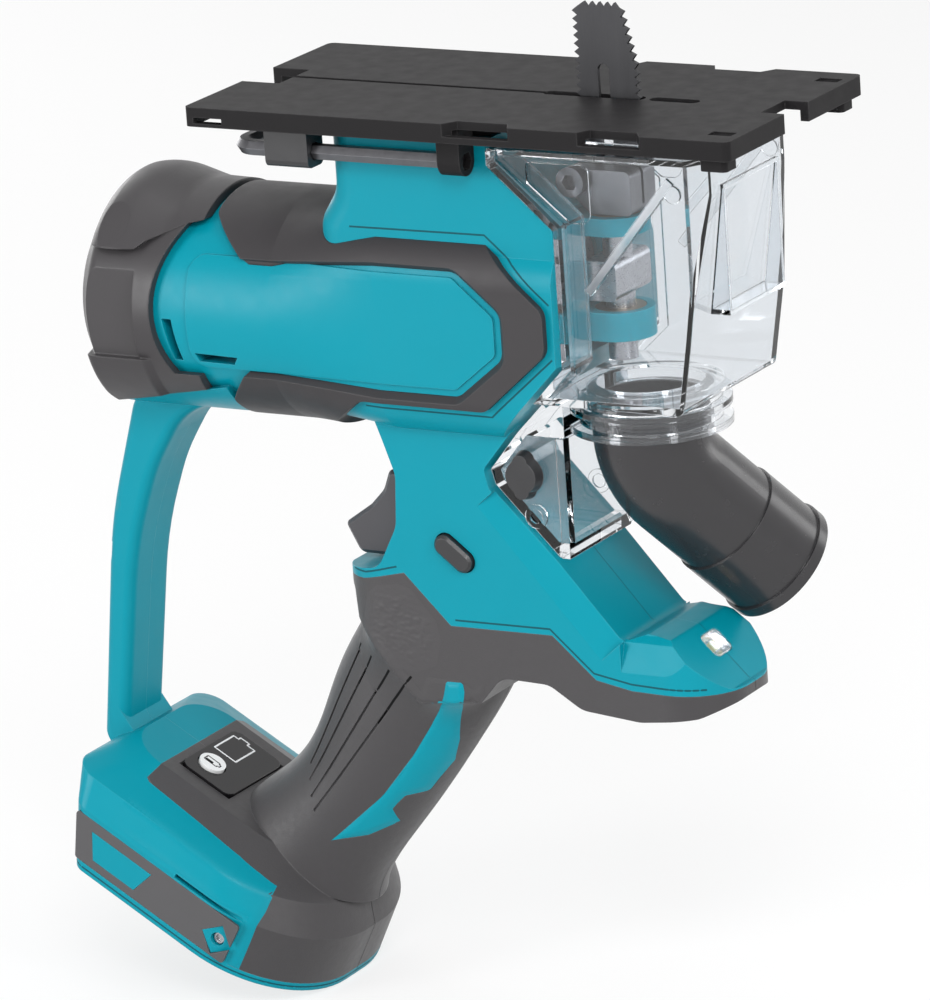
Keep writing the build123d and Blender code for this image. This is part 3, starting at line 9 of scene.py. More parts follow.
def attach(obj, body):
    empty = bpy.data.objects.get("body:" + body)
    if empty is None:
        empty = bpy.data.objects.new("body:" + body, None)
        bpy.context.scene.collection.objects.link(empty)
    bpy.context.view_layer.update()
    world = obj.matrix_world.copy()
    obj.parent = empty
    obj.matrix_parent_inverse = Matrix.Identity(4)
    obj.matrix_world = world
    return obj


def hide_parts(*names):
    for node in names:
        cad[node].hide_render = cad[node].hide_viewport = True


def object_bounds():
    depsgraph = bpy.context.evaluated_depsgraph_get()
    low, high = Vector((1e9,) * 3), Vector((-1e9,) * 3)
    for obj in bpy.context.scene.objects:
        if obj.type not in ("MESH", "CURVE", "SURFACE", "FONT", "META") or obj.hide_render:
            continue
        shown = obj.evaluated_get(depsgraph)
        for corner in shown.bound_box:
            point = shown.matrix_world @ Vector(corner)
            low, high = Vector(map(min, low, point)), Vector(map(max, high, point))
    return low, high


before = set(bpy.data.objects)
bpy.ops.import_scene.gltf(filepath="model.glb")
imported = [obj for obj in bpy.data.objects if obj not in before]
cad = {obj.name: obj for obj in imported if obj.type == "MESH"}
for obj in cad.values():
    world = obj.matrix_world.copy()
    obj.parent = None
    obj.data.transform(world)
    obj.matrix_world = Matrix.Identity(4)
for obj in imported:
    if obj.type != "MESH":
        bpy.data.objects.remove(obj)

MM = 0.001
cad_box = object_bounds()
scene = bpy.context.scene
scene.view_settings.view_transform = "Standard"


# Materials

MIX_A, MIX_B, MIX_RESULT = 6, 7, 2  # colour sockets of a Mix node
NOISE_LOW, NOISE_HIGH = 0.25, 0.75  # range that most of a noise falls in
SHADOW_ALPHA = 0.2  # how much of a shadow clear plastic casts


def linear(red, green, blue):
    """Linear colour from the usual 0 to 255 values."""
    def one(value):
        value /= 255
        return value / 12.92 if value <= 0.04045 else ((value + 0.055) / 1.055) ** 2.4
    return (one(red), one(green), one(blue), 1.0)


def shade(colour, factor):
    """Darker or lighter by a factor."""
    return tuple(min(1.0, c * factor) for c in colour[:3]) + (1.0,)


def edge_light_colour(colour):
    """Paler and slightly greyer, the painted highlight colour of sharp edges."""
    return tuple(0.78 * c * 1.7 + 0.22 * 0.3 for c in colour[:3]) + (1.0,)


class Finish:
    """A procedural material: colour, roughness and surface grain from noise in the object's own space."""

    def __init__(self, name):
        self.material = bpy.data.materials.new(name)
        self.material.use_nodes = True
        self.tree = self.material.node_tree
        self.shader = self.tree.nodes["Principled BSDF"]
        self.space = self.node("ShaderNodeTexCoord").outputs["Object"]
        self.normal = None

    def node(self, kind, **values):
        made = self.tree.nodes.new(kind)
        for key, value in values.items():
            setattr(made, key, value)
        return made

    def link(self, source, target):
        self.tree.links.new(source, target)

    def set(self, **values):
        for key, value in values.items():
            self.shader.inputs[key.replace("_", " ")].default_value = value

    def stretched(self, scale):
        mapping = self.node("ShaderNodeMapping")
        mapping.inputs["Scale"].default_value = scale
        self.link(self.space, mapping.inputs["Vector"])
        return mapping.outputs["Vector"]

    def noise(self, size, detail=3.0, scale=None):
        """Noise whose patches are about size metres across."""
        texture = self.node("ShaderNodeTexNoise")
        texture.inputs["Scale"].default_value = 1 / size
        texture.inputs["Detail"].default_value = detail
        self.link(self.space if scale is None else self.stretched(scale), texture.inputs["Vector"])
        return texture.outputs["Fac"]

    def cells(self, size):
        """Distances to the middles of cells about size metres across."""
        texture = self.node("ShaderNodeTexVoronoi")
        texture.inputs["Scale"].default_value = 1 / size
        self.link(self.space, texture.inputs["Vector"])
        return texture.outputs["Distance"]

    def ramp(self, value, low, high):
        """Maps the middle of a noise to the range low to high."""
        ranged = self.node("ShaderNodeMapRange")
        ranged.inputs["From Min"].default_value = NOISE_LOW
        ranged.inputs["From Max"].default_value = NOISE_HIGH
        ranged.inputs["To Min"].default_value = low
        ranged.inputs["To Max"].default_value = high
        self.link(value, ranged.inputs["Value"])
        return ranged.outputs["Result"]

    def colour(self, value, first, second):
        """Base colour between two colours, by a value."""
        mix = self.node("ShaderNodeMix", data_type="RGBA")
        mix.inputs[MIX_A].default_value = first
        mix.inputs[MIX_B].default_value = second
        self.link(value, mix.inputs[0])
        self.link(mix.outputs[MIX_RESULT], self.shader.inputs["Base Color"])
        return mix

    def rough(self, value, low, high):
        self.link(self.ramp(value, low, high), self.shader.inputs["Roughness"])

    def soft_edges(self, radius):
        """Rounds the shading of edges; called before bump."""
        bevel = self.node("ShaderNodeBevel", samples=4)
        bevel.inputs["Radius"].default_value = radius
        self.normal = bevel.outputs["Normal"]
        self.link(self.normal, self.shader.inputs["Normal"])

    def painted_edge_highlights(self, mix, radius, colour, most):
        """Mixes a paler colour in where the surface turns sharply within a radius, as a painted edge highlight."""
        bevel = self.node("ShaderNodeBevel", samples=4)
        bevel.inputs["Radius"].default_value = radius
        plain = self.node("ShaderNodeNewGeometry")
        turn = self.node("ShaderNodeVectorMath", operation="DOT_PRODUCT")
        self.link(bevel.outputs["Normal"], turn.inputs[0])
        self.link(plain.outputs["Normal"], turn.inputs[1])
        sharp = self.node("ShaderNodeMapRange")
        for name, value in (("From Min", 0.985), ("From Max", 0.86), ("To Min", 0.0), ("To Max", most)):
            sharp.inputs[name].default_value = value
        self.link(turn.outputs["Value"], sharp.inputs["Value"])
        patchy = self.node("ShaderNodeMath", operation="MULTIPLY")
        self.link(sharp.outputs["Result"], patchy.inputs[0])
        self.link(self.ramp(self.noise(2.5 * MM, 4), 0.35, 1.0), patchy.inputs[1])
        highlighted = self.node("ShaderNodeMix", data_type="RGBA")
        highlighted.inputs[MIX_B].default_value = colour
        self.link(patchy.outputs[0], highlighted.inputs[0])
        self.link(mix.outputs[MIX_RESULT], highlighted.inputs[MIX_A])
        self.link(highlighted.outputs[MIX_RESULT], self.shader.inputs["Base Color"])

    def bump(self, value, depth, strength=1.0):
        bump = self.node("ShaderNodeBump")
        bump.inputs["Distance"].default_value = depth
        bump.inputs["Strength"].default_value = strength
        self.link(value, bump.inputs["Height"])
        if self.normal is not None:
            self.link(self.normal, bump.inputs["Normal"])
        self.normal = bump.outputs["Normal"]
        self.link(self.normal, self.shader.inputs["Normal"])


def moulded(
    name, colour, rough, edge=0.35 * MM, grain=0.5 * MM, depth=0.008 * MM, spread=0.06, highlight_share=0.55, **sockets
):
    """Moulded plastic: slow colour drift, uneven gloss, a fine orange-peel grain and painted highlights on sharp edges.
    """
    f = Finish(name)
    f.set(**sockets)
    drift = f.colour(f.noise(18 * MM, 4), shade(colour, 1 - spread), shade(colour, 1 + spread))
    f.rough(f.noise(5 * MM, 5), rough - 0.04, rough + 0.05)
    if edge:
        # sharp edges made paler: painted highlight
        f.painted_edge_highlights(drift, 0.5 * MM, edge_light_colour(colour), highlight_share)
        f.soft_edges(edge)
    f.bump(f.noise(grain, 2), depth)
    return f.material


def rubber(name, colour, rough, pebble=0.55 * MM, depth=0.03 * MM):
    """Soft-touch rubber: matt, with a pebbled skin, a faint dusty sheen and painted highlights on sharp edges."""
    f = Finish(name)
    f.set(Sheen_Weight=0.12, Sheen_Roughness=0.5)
    drift = f.colour(f.noise(9 * MM, 5), shade(colour, 0.94), shade(colour, 1.07))
    # sharp edges made paler: painted highlight
    f.painted_edge_highlights(drift, 0.6 * MM, edge_light_colour(colour), 0.5)
    f.rough(f.noise(2 * MM, 4), rough - 0.05, rough + 0.05)
    f.soft_edges(0.45 * MM)
    f.bump(f.cells(pebble), depth, 0.6)
    f.bump(f.noise(0.2 * MM, 2), 0.01 * MM, 0.6)
    return f.material


def metal(name, colour, rough, streak=(1, 1, 1), grain=0.4 * MM, depth=0.006 * MM, edge=0.15 * MM):
    """Bare metal with a drawn, ground or cast grain along one direction."""
    f = Finish(name)
    f.set(Metallic=1.0)
    f.colour(f.noise(3 * MM, 5, streak), shade(colour, 0.82), shade(colour, 1.12))
    f.rough(f.noise(grain, 4, streak), rough - 0.08, rough + 0.1)
    if edge:
        f.soft_edges(edge)
    f.bump(f.noise(grain, 3, streak), depth)
    return f.material


def clear(name, tint, rough, alpha, wave):
    """Clear polycarbonate: thin walls, faint flow marks and fine scuffs."""
    f = Finish(name)
    f.set(Transmission_Weight=1.0, IOR=1.5)
    rays = f.node("ShaderNodeLightPath")
    blocked = f.node("ShaderNodeMath", operation="MULTIPLY_ADD")
    blocked.inputs[1].default_value = SHADOW_ALPHA - alpha
    blocked.inputs[2].default_value = alpha
    f.link(rays.outputs["Is Shadow Ray"], blocked.inputs[0])
    f.link(blocked.outputs[0], f.shader.inputs["Alpha"])
    f.colour(f.noise(14 * MM, 3), shade(tint, 0.985), tint)
    f.rough(f.noise(3 * MM, 5), max(0.0, rough - 0.02), rough + 0.03)
    f.soft_edges(0.3 * MM)
    f.bump(f.noise(9 * MM, 2), wave, 0.5)
    return f.material


TEAL = linear(0, 132, 149)
CHARCOAL = linear(49, 47, 49)

finish = {
    "teal": moulded("teal_plastic", TEAL, 0.36, spread=0.025, Specular_IOR_Level=0.14),
    # dark teal for grooves and the parting line: painted shade
    "seam": moulded("teal_shadow", shade(TEAL, 0.30), 0.6, edge=0, spread=0.1, Specular_IOR_Level=0.2),
    "rubber": rubber("dark_rubber", CHARCOAL, 0.52),
    "pebbled": rubber("pebbled_rubber", shade(CHARCOAL, 1.12), 0.46, pebble=0.35 * MM, depth=0.02 * MM),
    "band": moulded("band_rubber", CHARCOAL, 0.48, edge=0.5 * MM, grain=0.35 * MM, depth=0.02 * MM,
                    Specular_IOR_Level=0.3),
    "cover": moulded("cover_plastic", linear(53, 51, 53), 0.4, edge=0.7 * MM, depth=0.012 * MM,
                     Specular_IOR_Level=0.35),
    "plate": moulded("plate_plastic", linear(68, 67, 69), 0.5, depth=0.012 * MM),
    "shoe": moulded("black_metal", linear(31, 30, 31), 0.5, edge=0.25 * MM, grain=0.3 * MM, depth=0.014 * MM,
                    spread=0.02, Specular_IOR_Level=0.08),
    "black": moulded("black_plastic", linear(38, 38, 40), 0.32, edge=0.3 * MM),
    "trigger": moulded("trigger_plastic", linear(60, 59, 63), 0.42, edge=0.4 * MM),
    "nozzle": moulded("nozzle_plastic", linear(42, 41, 43), 0.24, edge=0.4 * MM, depth=0.003 * MM,
                      spread=0.03, highlight_share=0.0),
    "gloss": moulded("gloss_black", linear(20, 19, 21), 0.14, edge=0.3 * MM, depth=0.003 * MM,
                     Specular_IOR_Level=0.35),
    "white": moulded("white_plastic", linear(228, 229, 229), 0.4, edge=0.2 * MM, spread=0.02),
    "print": moulded("white_print", linear(225, 226, 228), 0.55, edge=0, spread=0.04),
    # near-black for printed marks, and painted shade in the ends of the grooves and along the rubber's parting line
    "ink": moulded("black_print_and_groove_shade", linear(12, 12, 13), 0.6, edge=0, spread=0.1, Specular_IOR_Level=0.1),
    "clear": clear("clear_plastic", (0.86, 0.885, 0.91, 1.0), 0.02, 1.0, 0.012 * MM),
    "frost": clear("frosted_plastic", (0.90, 0.92, 0.94, 1.0), 0.4, 1.0, 0.004 * MM),
    "lens": clear("lens_plastic", (0.95, 0.97, 1.0, 1.0), 0.02, 0.6, 0.005 * MM),
    "mirror": metal("reflector", (0.86, 0.86, 0.87, 1), 0.16, grain=0.5 * MM, depth=0.004 * MM, edge=0),
    "led": moulded("led_phosphor", linear(226, 206, 120), 0.6, edge=0, spread=0.1),
    "cast": metal("cast_aluminium", (0.50, 0.51, 0.53, 1), 0.5, grain=0.6 * MM, depth=0.03 * MM),
    "steel": metal("steel", (0.40, 0.40, 0.42, 1), 0.30, streak=(0.2, 1, 1), depth=0.0008 * MM),
    "bronze": metal("bronze", (0.30, 0.24, 0.17, 1), 0.4, grain=0.3 * MM),
    "dark_steel": metal("dark_steel", (0.16, 0.16, 0.17, 1), 0.38, streak=(1, 1, 0.2)),
    "blade": metal("blade_steel", (0.055, 0.055, 0.058, 1), 0.42, streak=(1, 1, 0.08),
                   depth=0.003 * MM, edge=0.08 * MM),
    "copper": metal("copper", (0.72, 0.33, 0.16, 1), 0.3, streak=(1, 1, 0.2)),
    "ferrite": moulded("ferrite", linear(48, 47, 50), 0.6, depth=0.03 * MM),
    "board": moulded("board", linear(24, 82, 52), 0.4, spread=0.1),
}

worn_by = {
    "teal": "housing_right housing_left gear_housing",
    "rubber": "grip_right grip_left",
    "band": "band_right band_left",
    "cover": "rear_cover",
    "plate": "side_plate_right side_plate_left",
    "shoe": "base_plate",
    "trigger": "trigger",
    "black": "wrench_holder dust_latch lock_button switch_body brush_plate terminal_block fan",
    "nozzle": "dust_nozzle",
    "gloss": "indicator_panel",
    "white": "check_button",
    "clear": "dust_box",
    "lens": "lamp_lens",
    "cast": "gear_cover",
    "steel": "slider armature_shaft crank_shaft bearing_rear bearing_front crank_bearing gear_bearing motor_yoke",
    "dark_steel": "hex_wrench blade_clamp clamp_screw pinion drive_gear armature_core",
    "bronze": "guide_upper guide_lower",
    "blade": "blade",
    "copper": "winding_rear winding_front commutator contact_right contact_left",
    "ferrite": "magnet_upper magnet_lower brush_right brush_left",
    "board": "lamp_board controller",
}
for key, names in worn_by.items():
    for name in names.split():
        mesh = cad[name].data
        mesh.materials.clear()
        mesh.materials.append(finish[key])


# Pieces on the surfaces, placed in millimetres of the common frame


def search_tree(*names, pieces=()):
    """Search tree over some CAD nodes and pieces at rest."""
    points, faces = [], []
    for mesh in [cad[name].data for name in names] + [piece.data for piece in pieces]:
        first = len(points)
        points += [v.co.copy() for v in mesh.vertices]
        faces += [[first + i for i in p.vertices] for p in mesh.polygons]
    return BVHTree.FromPolygons(points, faces)


SIDES = {"right": -1, "left": 1}
skin = {name: search_tree("housing_" + name, "grip_" + name) for name in SIDES}


def on_side(name, x, z):
    """Outermost point of a side's skin at X and Z, in metres, and its normal."""
    side = SIDES[name]
    hit, normal, _, _ = skin[name].ray_cast(Vector((x * MM, side * 0.2, z * MM)), Vector((0, -side, 0)))
    if hit is None:
        return None, None
    if normal.y * side < 0:
        normal = -normal
    return hit, normal


def new_piece(name, points, faces, key, body, slot, smooth=True):
    """Mesh piece from points in metres, with a finish, that rides on a body."""
    mesh = bpy.data.meshes.new(name)
    mesh.from_pydata([tuple(p) for p in points], [], faces)
    mesh.materials.append(finish[key])
    for polygon in mesh.polygons:
        polygon.use_smooth = smooth
    mesh.update()
    made = bpy.data.objects.new(name, mesh)
    scene.collection.objects.link(made)
    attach(made, body)
    return made


def spaced(points, step, closed=False):
    """Points along a polyline at about even steps, its corners kept."""
    points = [Vector(p) for p in points]
    if closed:
        points.append(points[0])
    out = []
    for a, b in zip(points, points[1:]):
        count = max(1, round((b - a).length / step))
        out += [a.lerp(b, i / count) for i in range(count)]
    if not closed:
        out.append(points[-1])
    return out


RIBBON_EDGE_LIFT = 0.012


def ribbon(places, width, lift, closed=False):
    """Narrow strip through points with normals, a little crowned across."""
    count = len(places)
    points, faces = [], []
    for i, (p, n) in enumerate(places):
        before = places[i - 1][0] if i or closed else p
        after = places[(i + 1) % count][0] if i + 1 < count or closed else p
        across = n.cross((after - before).normalized()).normalized() * (width / 2 * MM)
        low = n * (RIBBON_EDGE_LIFT * MM)
        points += [p + across + low, p + n * (lift * MM), p - across + low]
    for i in range(count if closed else count - 1):
        a, b = 3 * i, 3 * ((i + 1) % count)
        faces += [(a, a + 1, b + 1, b), (a + 1, a + 2, b + 2, b + 1)]
    return points, faces


def merged(parts):
    """One pair of points and faces from several."""
    points, faces = [], []
    for more_points, more_faces in parts:
        first = len(points)
        points += more_points
        faces += [tuple(first + i for i in face) for face in more_faces]
    return points, faces


def side_line(name, outline, width=0.55, lift=0.03):
    """Ribbon along an X-Z line on one side of the housing."""
    places = []
    for p in spaced(outline, 1.0):
        hit, normal = on_side(name, p.x, p.y)
        if hit is not None:
            places.append((hit, normal))
    return ribbon(places, width, lift)


# thin grooves in the teal beside the bands and over the rubber, drawn as dark ribbons of painted shade
BAND_GROOVE = [(-66, -84.4), (-25.7, -84.4), (-5.4, -66.6)], [(-5.4, -51.4), (-25.7, -33.9), (-68, -34.2)]
LIP_GROOVE = [(-80.5, -135.6), (-75, -135.4), (-64.2, -132.6)]
NOSE_GROOVE = [(-46.5, -146.5), (-16.6, -146.2), (-3.6, -157.7), (8, -159.7), (29, -160.4)]
for name in SIDES:
    lines = [side_line(name, outline) for outline in (*BAND_GROOVE, LIP_GROOVE, NOSE_GROOVE)]
    new_piece("grooves_" + name, *merged(lines), "seam", "housing", "teal_plastic")

# battery pad: its symbols, on the foot's own directions
FOOT_TILT = math.radians(30)
FOOT_ORIGIN = Vector((-139.65, 0, -241.9))
FOOT_ALONG = Vector((math.cos(FOOT_TILT), 0, -math.sin(FOOT_TILT)))
FOOT_UP = Vector((math.sin(FOOT_TILT), 0, math.cos(FOOT_TILT)))
FOOT_REAR, FOOT_FRONT, FOOT_HALF = -33, 45, 39.5
FLARE_HEIGHT = 18
PAD_TOP = 34.2
CHECK_TOP = 35.1
PRINT_LIFT = 0.035


def foot_point(along, across, height):
    """Point in metres from places along, across and over the tilted foot."""
    return (FOOT_ORIGIN + FOOT_ALONG * along + Vector((0, across, 0)) + FOOT_UP * height) * MM


def foot_stroke(outline, height, width, closed=True):
    """Printed line on a level of the foot."""
    places = [(foot_point(p.x, p.y, height), FOOT_UP) for p in spaced(outline, 0.4, closed)]
    return ribbon(places, width, PRINT_LIFT, closed)


BATTERY = [
    (-23.4, 1.0), (-23.4, 11.6), (-21.6, 11.6), (-21.6, 12.8),
    (-18.4, 12.8), (-18.4, 11.6), (-15.6, 11.6), (-15.6, 1.0),
]
new_piece("battery_sign", *foot_stroke(BATTERY, PAD_TOP, 0.55), "print", "housing", "white_plastic")

CHECK_AT = (-19.0, -7.0)
sign = [(-2.5, -1.15), (-2.5, 1.15), (1.9, 1.15), (1.9, 0.55), (2.6, 0.55), (2.6, -0.55), (1.9, -0.55), (1.9, -1.15)]
sign = [(CHECK_AT[0] + u, CHECK_AT[1] + v) for u, v in sign]
level = [(CHECK_AT[0] + u, CHECK_AT[1] + v) for u, v in ((-2.2, -0.55), (0.4, -0.55))]
marks = [foot_stroke(sign, CHECK_TOP, 0.42), foot_stroke(level, CHECK_TOP, 0.9, closed=False)]
new_piece("check_sign", *merged(marks), "ink", "check_button", "black_plastic")


def foot_outline(height):
    """Outline of the foot at a height over its underside, as points with outward normals."""
    share = height / FLARE_HEIGHT
    rear, front, wide = FOOT_REAR - 8 * share, FOOT_FRONT - share, FOOT_HALF
    rear_r, front_r = 4 + share, 34 + share
    places = []
    corners = (
        (rear + rear_r, -wide + rear_r, rear_r, 180, 270, 6),
        (front - front_r, -wide + front_r, front_r, 270, 360, 24),
        (front - front_r, wide - front_r, front_r, 0, 90, 24),
        (rear + rear_r, wide - rear_r, rear_r, 90, 180, 6),
    )
    for u, v, r, first, last, steps in corners:
        for i in range(steps + 1):
            a = math.radians(first + (last - first) * i / steps)
            normal = FOOT_ALONG * math.cos(a) + Vector((0, math.sin(a), 0))
            places.append((foot_point(u + r * math.cos(a), v + r * math.sin(a), height), normal))
    return places


# groove near the foot's underside, a dark ribbon: painted shade
RIM_HEIGHT = 1.3
rim = foot_outline(RIM_HEIGHT)
new_piece("foot_rim_groove", *ribbon(rim, 0.5, 0.03), "seam", "housing", "teal_plastic")


# screws with a six-lobed socket in the sides of the foot
SCREW_ALONG, SCREW_HEIGHT = 16.4, 8.4
SCREW_RADIUS, SCREW_DEEP, SCREW_SUNK = 1.9, 2.2, 1.5


def screw_head(place, axis, radius, deep):
    """Round head with its socket, from the shank's end up, over the rim and down into the socket."""
    first = axis.orthogonal().normalized()
    second = axis.cross(first)
    steps, lobes = 48, 6
    rings = (
        (radius, -deep, 0), (radius, -0.3, 0), (radius * 0.93, -0.08, 0), (radius * 0.84, 0, 0),
        (radius * 0.56, 0, 0.1), (radius * 0.53, -0.12, 0.1), (radius * 0.5, -0.75, 0.1),
    )
    points, faces = [], []
    for r, height, lobe in rings:
        for i in range(steps):
            a = 2 * math.pi * i / steps
            here = r * (1 + lobe * math.cos(lobes * a))
            points.append(place + (first * math.cos(a) + second * math.sin(a)) * (here * MM) + axis * (height * MM))
    for k in range(len(rings) - 1):
        for i in range(steps):
            a, b = k * steps + i, k * steps + (i + 1) % steps
            faces.append((a, b, b + steps, a + steps))
    last = (len(rings) - 1) * steps
    faces.append(tuple(last + i for i in range(steps)))
    faces.append(tuple(reversed(range(steps))))
    return points, faces


for name, side in SIDES.items():
    place = foot_point(SCREW_ALONG, side * (FOOT_HALF - SCREW_SUNK), SCREW_HEIGHT)
    head = screw_head(place, Vector((0, side, 0)), SCREW_RADIUS, SCREW_DEEP)
    new_piece("foot_screw_" + name, *head, "steel", "housing", "steel", smooth=False)


# lamp: window, reflector and chip in place of the plain lens block
LAMP_LEAN = math.atan2(14.2, 14.6)
LAMP_AT = Vector((19 + 0.34 * 14.6, 0, -147.4 - 0.34 * 14.2))
LAMP_ALONG = Vector((math.cos(LAMP_LEAN), 0, -math.sin(LAMP_LEAN)))
LAMP_UP = Vector((math.sin(LAMP_LEAN), 0, math.cos(LAMP_LEAN)))


def lamp_ring(half_along, half_across, corner, height):
    """Rounded rectangle at a height over the lamp's face."""
    steps = 5
    ring = []
    for sx, sy, first in ((1, 1, 0), (-1, 1, 90), (-1, -1, 180), (1, -1, 270)):
        for i in range(steps + 1):
            a = math.radians(first + 90 * i / steps)
            u = sx * (half_along - corner) + corner * math.cos(a)
            v = sy * (half_across - corner) + corner * math.sin(a)
            ring.append((LAMP_AT + LAMP_ALONG * u + Vector((0, v, 0)) + LAMP_UP * height) * MM)
    return ring


def stacked(rings):
    """Closed body through rings of points."""
    count = len(rings[0])
    points = [p for ring in rings for p in ring]
    faces = []
    for k in range(len(rings) - 1):
        for i in range(count):
            a, b = k * count + i, k * count + (i + 1) % count
            faces.append((a, b, b + count, a + count))
    faces.append(tuple(reversed(range(count))))
    faces.append(tuple((len(rings) - 1) * count + i for i in range(count)))
    return points, faces


window = new_piece(
    "lamp_window",
    *stacked([
        lamp_ring(3.8, 4.9, 1.85, -0.9), lamp_ring(3.8, 4.9, 1.85, -0.25),
        lamp_ring(3.6, 4.7, 1.65, -0.05), lamp_ring(3.3, 4.4, 1.4, 0.0),
    ]),
    "lens", "housing", "clear_plastic",
)
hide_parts("lamp_lens")
new_piece(
    "lamp_reflector",
    *stacked([
        lamp_ring(3.75, 4.85, 1.8, -3.95), lamp_ring(3.75, 4.85, 1.8, -1.0), lamp_ring(3.5, 4.6, 1.6, -1.0),
        lamp_ring(2.7, 3.3, 0.9, -2.2), lamp_ring(1.9, 2.1, 0.4, -3.5),
    ]),
    "mirror", "housing", "steel", smooth=False,
)
new_piece(
    "lamp_chip",
    *stacked([
        lamp_ring(1.45, 1.45, 0.2, -3.5), lamp_ring(1.45, 1.45, 0.2, -3.05), lamp_ring(1.25, 1.25, 0.3, -2.95),
    ]),
    "led", "housing", "white_plastic",
)


# sheets that fill an X-Z outline and are laid on the sides
def inside(point, outline):
    """Whether a flat point lies in an outline."""
    odd = False
    for a, b in zip(outline, outline[1:] + outline[:1]):
        if (a.y > point.y) != (b.y > point.y):
            if point.x < (b.x - a.x) * (point.y - a.y) / (b.y - a.y) + a.x:
                odd = not odd
    return odd


def edge_distance(point, outline):
    """Distance of a flat point to an outline."""
    best = 1e9
    for a, b in zip(outline, outline[1:] + outline[:1]):
        way = b - a
        t = max(0.0, min(1.0, (point - a).dot(way) / way.length_squared))
        best = min(best, (point - a - way * t).length)
    return best


ROW_SHARE = 0.866  # height of an even triangle


def field(outline, step):
    """Triangles that fill an outline, with the distance of each corner to the edge."""
    edge = spaced(outline, step, closed=True)
    low = Vector((min(p.x for p in edge), min(p.y for p in edge)))
    high = Vector((max(p.x for p in edge), max(p.y for p in edge)))
    points = list(edge)
    rows = int((high.y - low.y) / (step * ROW_SHARE))
    for row in range(rows + 1):
        for column in range(int((high.x - low.x) / step) + 1):
            p = Vector((low.x + step * (column + 0.5 * (row % 2)), low.y + step * ROW_SHARE * row))
            if inside(p, edge) and edge_distance(p, edge) > 0.5 * step:
                points.append(p)
    count = len(edge)
    edges = [(i, (i + 1) % count) for i in range(count)]
    made = delaunay_2d_cdt(points, edges, [], 1, 1e-5)
    return made[0], [tuple(face) for face in made[2]], [edge_distance(p, edge) for p in made[0]]


EDGE_DEPTH = 0.01  # corners nearer to the edge than this stay where they are


def laid(name, flat, faces, rise, rounds=0, depth=None):
    """A field laid on one side of the object, evened inside its edge, each corner raised by rise(point, index)."""
    side = SIDES[name]
    base = []
    for p in flat:
        hit, _ = on_side(name, p.x, p.y)
        base.append(side * hit.y / MM if hit is not None else 0.0)
    near = [set() for _ in flat]
    for face in faces:
        for i in face:
            near[i].update(face)
    level = list(base)
    for _ in range(rounds):
        for i, around in enumerate(near):
            if depth[i] > EDGE_DEPTH:
                level[i] = max(base[i], sum(level[k] for k in around) / len(around))
    points = [Vector((p.x, side * (level[i] + rise(p, i)), p.y)) * MM for i, p in enumerate(flat)]
    turned = [f if side < 0 else tuple(reversed(f)) for f in faces]
    return points, turned


# rubber run from the flat of the handle into the round of the grip, with the ends of the grooves drawn on it as dark
# ribbons of painted shade
BLEND = [
    (-77.8, -148.0), (-59.0, -168.6), (-57.0, -164.0), (-47.0, -164.0), (-42.0, -166.4), (-38.2, -163.4),
    (-39.0, -167.4), (-40.6, -169.4), (-43.6, -170.7), (-44.6, -172.6), (-47.6, -177.4), (-50.4, -181.6),
    (-53.5, -186.0), (-60.0, -187.0), (-68.0, -181.0), (-76.5, -171.0), (-83.5, -160.5), (-84.0, -153.5),
    (-81.6, -150.0),
]
GROOVE_ENDS = [
    ((-82.4, -159.0), (-86.7, -168.2)), ((-76.6, -160.8), (-82.6, -170.5)), ((-69.4, -163.4), (-76.4, -172.1)),
    ((-62.0, -164.4), (-69.5, -172.7), (-76.0, -180.8)),
]
BLEND_ROUNDS = 200
flat, faces, depth = field(BLEND, 0.9)
for name in SIDES:
    sheet = laid(name, flat, faces, lambda p, i: 0.03 + 0.1 * min(1.0, depth[i] / 1.5), BLEND_ROUNDS, depth)
    blend = new_piece("grip_blend_" + name, *sheet, "rubber", "housing", "dark_rubber")
    skin[name] = search_tree("housing_" + name, "grip_" + name, pieces=[blend])
    # ends of the grooves as dark ribbons: painted shade
    lines = [side_line(name, outline, 0.75, 0.05) for outline in GROOVE_ENDS]
    new_piece("groove_ends_" + name, *merged(lines), "ink", "housing", "dark_rubber")

# raised inlay of the grip
CRESCENT = [
    (-50.9, -165.2), (-50.4, -164.7), (-46.1, -164.6), (-45.4, -165.1), (-45.1, -167.1), (-45.4, -169.1),
    (-45.8, -170.5), (-49.2, -172.9), (-49.9, -173.9), (-50.8, -175.3), (-51.7, -176.8), (-52.8, -179.2),
    (-55.1, -186.0), (-58.7, -193.3), (-66.4, -202.2), (-71.9, -202.9), (-76.1, -207.5), (-75.8, -212.1),
    (-84.0, -215.5), (-94.3, -217.4), (-85.6, -210.4), (-77.8, -203.2), (-71.4, -196.4), (-65.9, -188.7),
    (-61.2, -182.0), (-58.6, -178.2), (-56.9, -176.0), (-55.6, -174.4), (-54.5, -173.0), (-53.6, -172.1),
    (-52.7, -171.2), (-51.9, -169.1),
]
INLAY_RISE, INLAY_CHAMFER, INLAY_ROUNDS = 0.55, 1.2, 8
flat, faces, depth = field(CRESCENT, 0.7)
for name in SIDES:
    sheet = laid(
        name, flat, faces, lambda p, i: 0.04 + INLAY_RISE * min(1.0, depth[i] / INLAY_CHAMFER), INLAY_ROUNDS, depth
    )
    new_piece("grip_inlay_" + name, *sheet, "teal", "housing", "teal_plastic")

